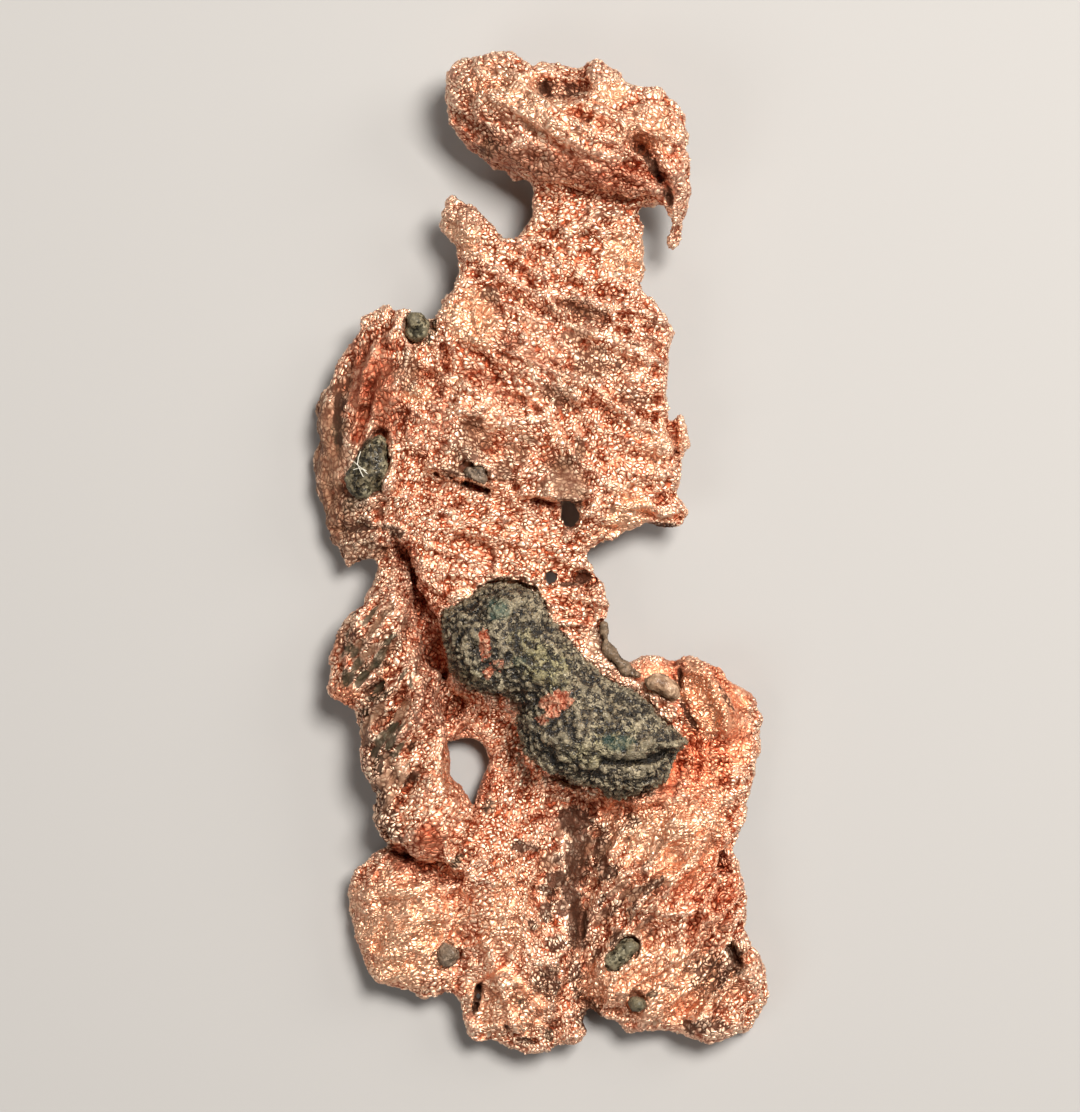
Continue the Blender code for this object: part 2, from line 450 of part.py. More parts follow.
def slit_cutter(start, end, half_width, collection):
    """An upright bar, oval in plan, that goes right through the sheet."""
    start = Vector((*start, 0))
    end = Vector((*end, 0))
    shape = bmesh.new()
    bmesh.ops.create_cone(shape, cap_ends=True, segments=10, radius1=half_width * MM,
                          radius2=half_width * MM, depth=2 * SLIT_REACH * MM)
    stretch = 1 + (end - start).length / 2 / half_width
    bmesh.ops.scale(shape, vec=(stretch, 1, 1), verts=shape.verts)
    turn = Vector((1, 0)).angle_signed((end - start).to_2d(), 0)
    bmesh.ops.rotate(shape, matrix=Matrix.Rotation(-turn, 3, "Z"), verts=shape.verts)
    bmesh.ops.translate(shape, vec=(start + end) / 2 * MM, verts=shape.verts)
    mesh = bpy.data.meshes.new("slit")
    shape.to_mesh(mesh)
    shape.free()
    return as_cutter(new_object("slit", mesh, collection))


def make_rock(name, spec, collection):
    """A pebble of the plan's shape: domed above, fuller below, slightly lumpy."""
    rock = slab(name, spec["plan"], collection, ROCK_VOXEL)
    points = read_points(rock.data)
    cover = rim_cover(points, spec["plan"], spec["rim"])
    top = spec["rim_top"] + (spec["crown"] - spec["rim_top"]) * cover
    under = spec["rim_top"] + (spec["under"] - spec["rim_top"]) * (0.5 + 0.5 * cover)
    side = np.clip(points[:, 2] / SLAB_HALF, -1, 1)
    points[:, 2] = (top + under) / 2 + side * (top - under) / 2
    write_points(rock.data, points)
    rock = voxel_remeshed(rock, collection, name, ROCK_VOXEL, smoothing=2)
    keep_largest_shell(rock.data)
    roughened(rock.data, ROCK_LUMPINESS, LUMP_SIZE / 2)
    return simplified(rock, spec["triangles"], collection, name)


def make_pocket(rock, collection):
    """The hollow that the rock sits in: the rock's own shape, a gap wider, open above."""
    mesh = rock.data.copy()
    points = read_points(mesh)
    normals = np.array([vertex.normal for vertex in mesh.vertices])
    points += normals * GAP
    points[:, 2] += OPEN_ABOVE * np.clip(normals[:, 2] * 3, 0, 1)
    write_points(mesh, points)
    return as_cutter(new_object(rock.name + "_pocket", mesh, collection))


def make_copper(name, rocks, collection, cutters):
    """Every stretch of the sheet grown into one solid, folded, holed and hollowed for the rock."""
    sheets = [shaped_sheet(part, spec, collection) for part, spec in SHEETS.items()]
    copper = joined(sheets, name, collection)
    copper = voxel_remeshed(copper, collection, name, COPPER_VOXEL, smoothing=2)
    keep_largest_shell(copper.data)
    roughened(copper.data, LUMPINESS, LUMP_SIZE, FOLDS)
    copper = simplified(copper, COPPER_TRIANGLES, collection, name)
    rest_flat(copper.data, PAD_DEPTH)
    for start, end, half_width in SLITS:
        subtract(copper, slit_cutter(start, end, half_width, cutters))
    for rock in rocks:
        subtract(copper, make_pocket(rock, cutters))
    copper = made_mesh(copper, collection, name)
    keep_largest_shell(copper.data)
    return copper


def fit_to_size(items, copper):
    """Brings the copper to its length and width, with its lowest face at the origin's height."""
    points = read_points(copper.data)
    low = points.min(axis=0)
    high = points.max(axis=0)
    middle = np.array([(low[0] + high[0]) / 2, (low[1] + high[1]) / 2, low[2]])
    size = high - low
    stretch = np.array([NUGGET_WIDTH / size[0], NUGGET_LENGTH / size[1], 1])
    for item in items:
        write_points(item.data, (read_points(item.data) - middle) * stretch)


def finish(item, spec):
    material = bpy.data.materials.new(item.name)
    material.use_nodes = True
    shader = material.node_tree.nodes["Principled BSDF"]
    shader.inputs["Base Color"].default_value = (*spec["colour"], 1)
    shader.inputs["Roughness"].default_value = spec["roughness"]
    shader.inputs["Metallic"].default_value = spec["metallic"]
    item.data.materials.clear()
    item.data.materials.append(material)
    item.data.shade_smooth()


def main():
    clear_scene()
    parts = new_collection("copper_nugget")
    cutters = new_collection("cutters")
    rocks = [make_rock(name, spec, parts) for name, spec in ROCKS.items()]
    copper = make_copper("copper_nugget", rocks, parts, cutters)
    pieces = [copper] + rocks
    fit_to_size(pieces, copper)
    for piece in pieces:
        finish(piece, FINISHES.get(piece.name, GREEN_ROCK))


main()
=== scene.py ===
from itertools import product
from math import cos, radians, sin

import bmesh
import bpy
import numpy as np
from mathutils import Matrix, Vector


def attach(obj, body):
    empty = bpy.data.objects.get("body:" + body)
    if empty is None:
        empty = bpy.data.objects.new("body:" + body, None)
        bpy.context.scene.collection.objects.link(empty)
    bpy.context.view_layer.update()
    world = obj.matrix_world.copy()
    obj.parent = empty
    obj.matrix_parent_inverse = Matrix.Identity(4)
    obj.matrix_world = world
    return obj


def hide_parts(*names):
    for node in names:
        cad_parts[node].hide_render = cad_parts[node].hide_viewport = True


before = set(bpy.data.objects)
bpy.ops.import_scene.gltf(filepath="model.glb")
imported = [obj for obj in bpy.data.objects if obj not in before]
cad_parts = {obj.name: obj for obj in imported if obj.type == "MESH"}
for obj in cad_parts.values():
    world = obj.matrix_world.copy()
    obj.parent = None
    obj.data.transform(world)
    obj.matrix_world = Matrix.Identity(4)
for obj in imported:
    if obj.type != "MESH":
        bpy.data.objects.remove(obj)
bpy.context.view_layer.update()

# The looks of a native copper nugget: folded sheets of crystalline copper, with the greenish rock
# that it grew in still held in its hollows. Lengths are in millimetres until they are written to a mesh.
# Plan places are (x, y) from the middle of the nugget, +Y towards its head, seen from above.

MM = 0.001

# How fine the meshes are, in millimetres
RELIEF_VOXEL = 0.26
GRAIN_VOXEL = 0.178
ROCK_VOXEL = 0.19
SMALL_ROCK_VOXEL = 0.14

# The relief of the copper sheet, from broad to fine: sizes across and heights
SWELL_SIZE = 3.4
SWELL_HEIGHT = 0.22
STRAND_LENGTH = 4.2
STRAND_GAIN = 1.75
TERRACE_SIZE = 7
TERRACE_STEPS = 1.6
TERRACE_HEIGHT = 0.5
RIM_SIZE = 1.5
RIM_HEIGHT = 0.45
RIM_LOSS = 0.15
HACKLE_SIZE = 1.05
HACKLE_LENGTH = 2.8
HACKLE_DEPTH = 0.5
KNOT_SIZE = 1.25
KNOT_HEIGHT = 0.16
KNOT_LEVEL = 0.35
KNOT_REACH = 0.85
KNOT_GAP = 0.35

# The grains on it: beads packed side by side, crooked, and drawn out along the lie of the relief
GRAIN_SIZE = 0.46
GRAIN_HEIGHT = 0.2
GRAIN_LEVEL = 0.35
GRAIN_CROOK = 0.9
BEAD_REACH = 0.8
BEAD_GAP = 0.17
BEAD_STRETCH = 0.22

# How far creases wander, in half widths, and how ragged the edges of stains are: broad and fine
CREASE_WANDER = 0.35
STAIN_RAGS = 0.45
STAIN_FRAY = 0.2

# What counts as a deep hollow, and the rounds of smoothing that hollows are found with: fine, broad
HOLLOW_DEPTH = 0.42
COPPER_ROUNDS = (6, 36)
ROCK_ROUNDS = (2, 10)

# Where the copper is divided across its length, so that no piece holds too many faces
DIVISIONS = [("copper_head", 23.8), ("copper_chest", 3.4), ("copper_waist", -14.9),
             ("copper_hips", -32.3), ("copper_foot", None)]

# Folds, ridges and cracks of the upper side: path, height, half width
CREASES = [
    # head: the ridge between its bright face and its shaded one, the crater, the cracks
    ([(-4, 45.5), (0, 43), (4, 40.5), (10, 39)], 0.12, 1.0),
    ([(-0.6, 47.0), (0.8, 46.5), (2.4, 46.2), (4.2, 46.4)], -0.5, 0.7),
    ([(0.3, 46.8), (0.6, 46.2)], -1.3, 0.38),
    ([(2.6, 45.9), (4.0, 45.8)], -0.6, 0.25),
    ([(1.0, 45.2), (4.4, 45.1)], 0.45, 0.5),
    ([(9.9, 40.9), (10.2, 40.3)], -1.6, 0.36),
    ([(10.2, 40.3), (10.7, 39.5), (11.3, 38.7), (11.9, 37.6)], -1.5, 0.3),
    ([(11.9, 37.6), (12.6, 36.2), (12.9, 35.4)], -1.0, 0.3),
    ([(11.5, 41.2), (12.6, 39.2), (13.4, 37.4)], 0.6, 0.7),
    ([(13.4, 35.2), (13.6, 33), (12.8, 31)], 0.5, 0.45),
    ([(-6.7, 41.6), (-5, 41.2), (-3.4, 41.2)], -0.8, 0.25),
    ([(-6.4, 40.6), (-4.4, 39.6)], 0.5, 0.5),
    ([(3, 39.6), (7, 38.8), (11, 37.8)], -0.5, 0.5),
    ([(4.5, 38.2), (8.5, 37.4), (12, 36)], 0.35, 0.45),
    ([(-8.5, 44), (-6.2, 46.4), (-3.2, 47.4)], -0.35, 0.6),
    # neck and arm
    ([(-0.2, 35.6), (4, 36), (8, 35.2)], -0.4, 0.4),
    ([(2, 33.6), (7, 32.2), (10.4, 32.8)], 0.3, 0.45),
    ([(6.4, 31.8), (8.6, 28.6), (9.2, 26.8)], 0.35, 0.7),
    ([(-8.6, 33.8), (-6, 30.4), (-2, 27)], 0.5, 0.9),
    # upper plate: long low ridges that fall towards the right, a blade and hollows
    ([(-9.7, 22.4), (-9.5, 20.6), (-9.4, 18.8)], -1.1, 0.2),
    ([(-10.8, 24.3), (-10.7, 22.3)], -1.6, 0.24),
    ([(-6.5, 26.6), (-6.45, 23.2)], 0.6, 0.2),
    ([(-5.8, 26), (-4.2, 24.8)], -0.7, 0.55),
    ([(-6, 21.5), (-1, 19.5), (4, 17.5), (9, 14)], 0.38, 0.5),
    ([(-3.5, 24.8), (2, 23), (8, 21.5), (12.5, 19)], 0.32, 0.5),
    ([(-8, 17), (-3, 15.2), (2, 12.8), (7, 10)], 0.35, 0.5),
    ([(0, 26), (6, 25.8), (11, 24)], 0.3, 0.5),
    ([(3, 27.6), (7.5, 25.4), (9, 23)], -0.35, 0.6),
    ([(-7.5, 13.2), (-4.5, 12), (-2, 12.6)], -0.45, 0.6),
    ([(-2, 10.2), (1.5, 9.4), (4.4, 7.8)], -0.4, 0.8),
    ([(8, 14.4), (11.2, 13), (12, 10)], 0.35, 0.6),
    ([(-8.6, 18.8), (-5.4, 17.6), (-2.4, 16.2), (0.4, 15.4)], -0.5, 0.7),
    ([(-6.8, 25.2), (-3.4, 24.2), (0.4, 22.6)], -0.45, 0.6),
    ([(2.2, 25.2), (5.4, 24.2), (8.6, 22.4)], -0.45, 0.55),
    ([(7.6, 25.4), (10.4, 24.2), (12.6, 22.6)], 0.4, 0.35),
    ([(7.2, 23.4), (10.2, 22.4), (13, 21.2)], 0.4, 0.3),
    ([(8.6, 21.6), (11, 20.8), (13.2, 20)], 0.35, 0.3),
    ([(-10.2, 18), (-9.8, 14.6), (-9.4, 11.6)], -0.4, 0.8),
    ([(11.8, 20), (12.4, 16), (12.5, 12)], 0.3, 0.5),
    # the broken lower edge of the upper plate: a lip over a narrow black opening
    ([(-11, 8.9), (-8, 8.1), (-4.9, 7.2)], 0.7, 0.55),
    ([(-10.4, 8.3), (-8, 7.5), (-5.3, 6.5)], -2.8, 0.28),
    ([(-5.2, 6.6), (-5.3, 7.6)], -1.6, 0.2),
    ([(-2.6, 8.8), (-2.4, 6.8)], -0.8, 0.25),
    ([(-1.6, 6.3), (1, 5.9), (3.6, 5.6)], 0.6, 0.45),
    ([(-1.7, 5.5), (1.2, 5.1), (4.6, 5.1)], -1.5, 0.2),
    ([(1.6, 4.8), (2.0, 3.8)], -1.0, 0.2),
    ([(4.9, 4.4), (3.4, 3.0), (2.6, 2.2)], 0.5, 0.5),
    ([(13.1, 14.4), (13.5, 12.4), (13.6, 10.4)], -2.0, 0.3),
    ([(14.1, 13.4), (14.5, 11.2)], 0.5, 0.3),
    ([(10, 4.5), (12, 3.7), (14.2, 3.9)], -1.6, 0.25),
    # middle plate
    ([(-9, 3.6), (-3, 2.2), (3, 0.2)], 0.28, 0.6),
    ([(-8, 0), (-2, -0.4), (3, -1.4)], -0.25, 0.5),
    ([(5.8, 3.2), (8.6, 2), (9.8, 0.9)], -0.35, 0.35),
    ([(3.8, -2.1), (4.9, -2.5), (5.9, -2.0)], -3.0, 0.34),
    ([(-10, 5.6), (-11.2, 2), (-11.4, -2)], 0.4, 0.7),
    # left lobe
    ([(-19, 18.5), (-20.5, 14), (-20.2, 9.5)], -0.4, 0.8),
    ([(-16.6, 24), (-17.2, 19.5), (-18.2, 15.5)], 0.45, 0.8),
    ([(-14.9, 19), (-13, 18.4), (-10.5, 18.6)], -0.5, 0.5),
    ([(-13, 16.4), (-10.8, 16.6), (-9.6, 16.2)], 0.5, 0.5),
    ([(-21, 2.6), (-18, 3), (-15, 2.4)], -0.8, 0.32),
    ([(-14.6, 2), (-14, 0)], -0.3, 0.4),
    ([(-19.8, 0.8), (-17, 1.4), (-15, 0.6)], 0.4, 0.5),
    # the deep groove between the middle plate and the left roll
    ([(-13.8, 0.6), (-12.6, -3), (-11.4, -8), (-10, -13.6)], -0.3, 0.7),
    # left roll
    ([(-16.5, -4.5), (-17.8, -8.5), (-19.4, -12.2)], -0.5, 0.5),
    ([(-20.2, -10), (-18.6, -12.6), (-18.2, -15.4)], 0.4, 0.6),
    ([(-14.2, -5), (-13.4, -10), (-12.4, -15)], 0.5, 0.7),
    ([(-17, -15.5), (-15.4, -20), (-14.6, -24.6)], -0.55, 0.45),
    ([(-13.7, -23.2), (-12.3, -21.4)], -1.3, 0.4),
    ([(-18.3, -12.3), (-16.9, -11.5)], -0.9, 0.34),
    ([(-16.7, -10.9), (-15.1, -10.7)], -0.8, 0.3),
    ([(-17.5, -13.9), (-16.5, -12.8)], -0.8, 0.32),
    ([(-13.3, -19.7), (-12.3, -18.4)], -0.9, 0.36),
    ([(-15.2, -17.6), (-14.1, -16.5)], -0.8, 0.34),
    ([(-16.1, -6.1), (-14.8, -5.2)], -0.6, 0.32),
    ([(-12.6, -21.7), (-10.8, -21.9)], 0.6, 0.3),
    ([(-15.6, -28.2), (-14, -28.8), (-12.4, -29)], -0.7, 0.4),
    ([(-15.2, -29.6), (-12.4, -30.8), (-9.6, -31.6)], -1.1, 0.6),
    ([(-10.4, -31.4), (-9.4, -31.9)], -1.1, 0.3),
    ([(-9.4, -29.4), (-9, -31)], 0.5, 0.4),
    # foot: the valley, the ridges that run into it, the wing and its curled edge
    ([(5.4, -25.4), (5.3, -28), (4.4, -31), (4.9, -34), (3.9, -37.5), (4.6, -41), (4.2, -44.5)], -0.5, 0.5),
    ([(2.8, -27), (2.2, -31), (3, -35)], 0.3, 0.4),
    ([(4.6, -43.2), (7.2, -39.6), (9.6, -35.6), (12.4, -31.6)], 0.5, 0.5),
    ([(5.4, -36.2), (7.4, -33.2), (10.6, -30.4)], 0.35, 0.4),
    ([(6.4, -41.6), (9.4, -38.4), (12, -35)], -0.3, 0.45),
    ([(8, -28.4), (10, -32.3), (12.3, -33)], -0.3, 0.5),
    ([(18.0, -29.2), (18.8, -31.9)], -0.8, 0.35),
    ([(16, -35), (15, -40), (16, -45)], -0.4, 0.9),
    ([(19.3, -38.6), (19.7, -40.4), (20.4, -41.6)], -2.2, 0.26),
    ([(18.8, -42.2), (19.8, -41.8)], -1.6, 0.3),
    ([(20.4, -38), (20.3, -40)], 0.6, 0.35),
    ([(14.5, -11.3), (14.5, -13.4), (15.1, -15.2), (16.2, -17.2)], 0.45, 0.4),
    ([(14.1, -11.4), (14.0, -13.6), (14.7, -15.6)], -0.7, 0.2),
    ([(14.8, -11.4), (16.4, -11.3), (17.2, -13), (18.2, -15), (18.8, -16.8)], 0.45, 0.4),
    ([(17.0, -11.2), (18, -13.2), (19, -15.4), (19.2, -17.6)], -0.6, 0.24),
    ([(16.2, -13), (16.8, -15), (17.4, -16.6)], -0.15, 0.4),
    ([(15.4, -18.9), (16.4, -20.6), (15.6, -22.4)], -0.4, 0.4),
    ([(11.6, -18.6), (12.8, -17.4), (14.2, -16.4)], -0.4, 0.5),
    ([(8, -10.8), (10.2, -12.4)], -0.6, 0.25),
    ([(2, -23.3), (5.5, -24.6), (9, -25), (12.4, -24)], 0.6, 0.4),
    ([(4.6, -24.2), (7, -25.1), (9.2, -25.2)], -0.9, 0.3),
    ([(-8.4, -33.4), (-8.2, -38), (-8.4, -42.6)], -0.35, 0.6),
    ([(-5.4, -39), (-4, -43.4), (-2.6, -47.6)], 0.4, 0.5),
    ([(-6.15, -43.4), (-6.5, -45.6)], -2.6, 0.25),
    ([(-5.8, -42.6), (-3.6, -41.2), (-1.8, -43.2), (0.2, -45.4)], 0.3, 0.32),
    ([(-3.6, -46.9), (-3.2, -47.6)], -0.8, 0.25),
    ([(-2.2, -48.4), (-1.4, -48.9), (-0.4, -48.9)], -0.8, 0.25),
    ([(10.3, 3.5), (11.6, 3.1), (13.2, 3.2)], -0.6, 0.25),
    ([(1.9, -2.7), (3, -2.9), (4.4, -2.3)], -0.7, 0.22),
    ([(-18, -34.2), (-13, -33.6), (-9, -37.2)], 0.35, 0.5),
    ([(4.4, -45), (5, -47.4)], -1.2, 0.5),
]

# Which way the relief runs in each stretch: x, y, half sizes, direction in degrees, height, spacing
LIE_FADE = 0.02
LIES = [
    (3, 42.5, 11, 6, -28, 0.26, 1.2), (4, 31, 6, 4, -12, 0.22, 1.0), (-2, 18, 8, 9, -32, 0.36, 1.2),
    (9.5, 17, 5, 9, -12, 0.34, 1.0), (-1, 0, 11, 6, -12, 0.26, 0.9), (-18.5, 12, 4, 12, 78, 0.3, 1.2),
    (-15.5, -15, 4, 13, 52, 0.46, 1.3), (11, -34, 7, 10, 52, 0.5, 1.0), (3.5, -33, 4, 9, 80, 0.36, 1.1),
    (-10, -40, 9, 8, 15, 0.16, 1.1), (16, -18, 4, 8, -30, 0.16, 1.9),
]

# Hackly stretches, pitted with long hollows: x, y, half sizes, direction in degrees, depth
HACKLES = [
    (-16.4, -12, 3.8, 7.5, 50, 0.6), (-15.6, -21.5, 3.2, 6.5, 58, 0.6), (3.2, -33.5, 3.0, 7.5, 78, 0.4),
    (9, -33, 4.6, 5.5, 52, 0.45), (17, -41, 3.0, 5, 40, 0.3), (-19, 3.0, 3.6, 3.4, 20, 0.35),
    (-20.4, 9.5, 1.6, 5, 80, 0.2), (4, 21, 9, 5, -25, 0.3), (-4, 11, 6, 3, -20, 0.3),
]

# Where the dirt in those hollows is olive: x, y, half sizes, turn in degrees, strength
OLIVE_STRETCH = [(-16.5, -14, 5, 12, 0, 1.0)]

# Openings made wider: x, y, reach, push
WIDENED = [(2.8, 3.9, 1.2, 0.42), (0.9, -2.2, 0.8, 0.1)]

# Thin places made a little fuller: x, y, half sizes, growth
FULLER = [
    (-15.0, 8.8, 0.9, 3.6, 0.5), (-14.4, 2.0, 1.2, 1.5, 0.45), (13.3, 32.4, 1.6, 2.8, 0.32),
    (13.6, 36, 1.4, 2.4, 0.2), (14.4, 12, 1.0, 2.4, 0.15), (13.1, -39.3, 1.5, 1.5, 0.35),
    (5.6, -27.8, 1.1, 1.1, 0.3), (-1.5, -8.6, 3.2, 3.2, 0.28), (-12.2, 23.2, 1.2, 1.2, 0.2),
    (13.4, 4.2, 2.0, 1.6, 0.2), (-9.6, -11.9, 1.0, 1.0, 0.3), (-12.4, -3, 1.3, 3.6, 0.3),
    (7.2, -8.6, 1.3, 2.6, 0.22), (20.2, -39.4, 1.0, 1.4, 0.15), (17.5, -13.5, 3.5, 4, 0.1),
    (-12.8, -30.5, 2.6, 1.3, 0.25), (9.8, -45, 1.7, 1.6, 0.28), (7.6, -26, 1.1, 1.1, 0.28),
    (-6.2, 6.7, 0.7, 0.7, 0.22), (-9.4, 20.9, 1.1, 1.1, 0.28), (-13.2, 24.2, 0.8, 0.8, 0.22),
]

# Small round pits: x, y, depth, radius
PITS = [
    (0.9, -2.2, 1.6, 0.42), (4.4, -2.15, 2.6, 0.5), (-7.0, 7.9, 0.8, 0.35), (-6.2, 28.4, 0.5, 0.4),
    (-3.0, 9.0, 0.6, 0.4), (10.2, 36.6, 0.5, 0.5), (-2.4, 21.4, 0.4, 0.5), (6.2, 24.2, 0.4, 0.6),
    (-0.6, -30.2, 0.5, 0.6), (9.5, -26.7, 0.5, 0.5), (14.5, -47.2, 0.5, 0.6), (-13.2, -43.0, 0.4, 0.5),
]

# Where the grain is weaker or stronger than elsewhere: x, y, half sizes, share of the usual height
GRAIN_PLACES = [
    (10.8, -12.0, 3.0, 1.6, 0.5), (-16.8, 16.5, 2.8, 5.2, 0.55), (-21.2, 10, 1.8, 8, 0.55),
    (12.6, -22.2, 1.2, 2.6, 0.4), (-10.8, -28.6, 1.1, 1.2, 0.6), (5.3, -8.6, 0.7, 1.2, 0.5),
    (20, -17.5, 1.3, 6, 0.5), (11.6, -11, 2.2, 1.2, 0.6), (3.2, -32, 1.8, 6, 0.7),
    (2.2, 7.2, 2.4, 2.2, 0.55), (-7.6, -20, 3.0, 4.0, 0.6), (2.4, 39.4, 7, 2.2, 0.75),
    (-3.4, -41.6, 0.7, 0.6, 0.3), (-2.4, -42.6, 0.6, 0.6, 0.3), (-1.4, -43.7, 0.6, 0.6, 0.3),
    (-0.4, -44.8, 0.6, 0.6, 0.3), (-5, -42.2, 0.8, 0.5, 0.4), (-6.2, -44.2, 0.5, 1.5, 0.2),
    (-16.4, -12, 3.2, 8, 1.25), (-15, -22, 2.6, 7, 1.25), (16.6, -14, 2.2, 3.8, 1.5),
    (2.2, 46.4, 2.4, 1.4, 1.5),
]

# Coloured places of the copper: x, y, half sizes, turn in degrees, strength
# Deeper red: the copper's own colour on the left lobe, painted shade in the groove beside the left roll,
# under the roll's end, under the lump, inside the curl and on the head's lower face
RED_AND_SHADE_PLACES = [
    (-16.9, 17, 2.9, 5.4, -8, 1.0), (-15.2, 13.6, 2.6, 2.4, 0, 0.9), (-17.6, 20.6, 1.8, 2.0, 0, 0.55),
    (-11.6, -7.2, 1.6, 7.2, 14, 0.7), (-10.6, -14.6, 1.7, 3.2, 10, 0.55), (-13.6, 0, 1.2, 1.8, 0, 0.9),
    (-13.6, -30.4, 2.2, 1.2, -14, 1.0), (-10.8, -28.2, 1.5, 1.8, 0, 0.85),
    (13.1, -22.4, 1.2, 3.0, -12, 0.7), (2.2, 46.4, 2.5, 1.0, 0, 0.6), (-4.2, 40.4, 5.2, 1.9, -33, 0.62),
    (4, 38.0, 7.5, 1.7, -14, 0.75), (-7.6, -20.6, 1.8, 4.6, 20, 0.55), (-10.4, 40, 1.6, 2.4, 0, 0.4),
    (1.8, -26.2, 3.2, 1.4, 0, 0.5), (11.6, 37.2, 1.8, 2.0, 40, 0.5), (8, 37.8, 4.2, 1.4, -14, 0.6),
    (-9.9, 14.6, 1.0, 4.2, 4, 0.6), (-5.4, 17.6, 3.4, 1.0, -20, 0.7), (-4.6, 24.8, 2.2, 0.9, -14, 0.6),
    (-1.5, 20.6, 3.6, 0.8, -28, 0.45), (-19, -9.6, 2.2, 2.4, 0, 0.4), (16.5, -14.4, 0.5, 1.2, 22, 0.5),
    (12.4, -11.2, 3.2, 0.9, 0, 0.45),
]
# Umber: dark tarnish in the foot's valley and on the left roll, and painted shade along cracks, in pits, in
# the crater and in shaded recesses
UMBER_AND_SHADE_PLACES = [
    (3.5, -30.2, 1.3, 3.8, -6, 1.0), (3.7, -36.4, 1.1, 4.0, 6, 1.0), (3.3, -26.8, 1.8, 1.3, 0, 1.0),
    (1.9, -32.4, 1.3, 0.9, 20, 1.0), (0.6, -33.6, 0.9, 0.7, 0, 0.9), (0.6, -35.6, 0.8, 1.2, 14, 0.85),
    (-0.8, -36.8, 0.7, 0.9, 0, 0.7), (2.2, -35.4, 0.8, 0.9, 0, 0.85), (2.0, -30.4, 0.9, 0.6, 30, 0.85),
    (6.9, -32, 1.0, 0.6, 40, 0.9), (6.2, -34.6, 0.9, 0.35, 55, 0.8), (1.6, -38.8, 0.9, 0.8, 0, 0.7),
    (-17.6, -11.9, 0.9, 0.4, 30, 0.9), (-15.9, -10.8, 0.9, 0.35, 7, 0.8), (-17, -13.4, 0.8, 0.4, 48, 0.8),
    (-12.8, -19, 0.9, 0.45, 52, 0.9), (-13, -22.3, 1.2, 0.5, 52, 0.9), (-14.6, -17, 0.8, 0.4, 45, 0.9),
    (-15.5, -5.7, 0.9, 0.35, 35, 0.7), (0.6, -42.5, 1.7, 1.9, 0, 0.6), (3.6, -42, 0.8, 2.4, 4, 0.7),
    (-1.3, -29.0, 1.4, 0.65, 0, 0.95), (5.6, -40.2, 0.9, 0.45, 54, 0.7), (7.6, -38.2, 1.0, 0.4, 50, 0.7),
    (9.2, -35.2, 1.0, 0.4, 52, 0.7), (11.0, 39.0, 1.9, 0.42, -58, 1.0), (9.5, -26.6, 0.7, 0.8, 0, 0.8),
    (11.2, -32.9, 1.7, 0.6, 24, 0.8), (17.2, -41.6, 2.6, 2.2, 0, 0.4), (17, -47.2, 1.5, 0.9, 0, 0.6),
    (14.8, -47.4, 1.0, 0.7, 0, 0.9), (14.15, -12.5, 1.5, 0.26, -88, 0.9),
    (15.0, -16.2, 1.6, 0.26, -60, 0.9), (18.7, -14.2, 2.3, 0.25, -60, 0.8),
    (-20.35, 15.2, 0.6, 1.2, 0, 1.6), (-20.4, 13.4, 0.55, 1.2, 6, 1.6), (-20.2, 11.7, 0.6, 1.0, 0, 1.6),
    (2.2, 46.3, 2.4, 0.9, 0, 0.45), (-17.6, 2.7, 3.0, 0.35, 4, 0.9), (-15.4, -25.4, 1.6, 3.4, 8, 0.55),
    (5.2, -46.4, 1.0, 1.4, 0, 1.0), (-15.2, -28.9, 0.9, 0.7, 0, 0.7), (-0.5, 39.2, 6.0, 1.2, -24, 0.36),
    (-16, -20, 1.8, 3.0, 6, 0.4), (6.2, -29.6, 0.8, 2.2, -10, 0.55), (-14.3, 2.2, 0.8, 0.6, 0, 0.8),
    (7.4, -35.4, 1.6, 0.5, 50, 0.5), (-18.6, -8.4, 1.4, 1.8, 0, 0.4), (3.3, 5.0, 0.9, 0.6, 0, 0.9),
    (0.45, 46.4, 0.6, 0.8, 0, 1.0), (3.4, 45.9, 1.0, 0.3, 0, 0.8), (19.6, -40.6, 0.8, 1.4, 20, 0.9),
    (10.1, 40.6, 0.5, 0.5, 0, 1.0), (12.9, 35.7, 0.45, 1.2, 14, 1.5), (-6.35, -44.4, 1.6, 0.34, 80, 1.6),
    (-1.3, -48.8, 1.1, 0.3, -12, 1.0), (-3.3, -47.3, 0.4, 0.3, 0, 1.0), (4.4, -2.15, 0.65, 0.55, 0, 1.6),
    (3, -2.85, 1.2, 0.22, 0, 1.0), (11.7, 3.1, 1.6, 0.3, 0, 0.9),
]
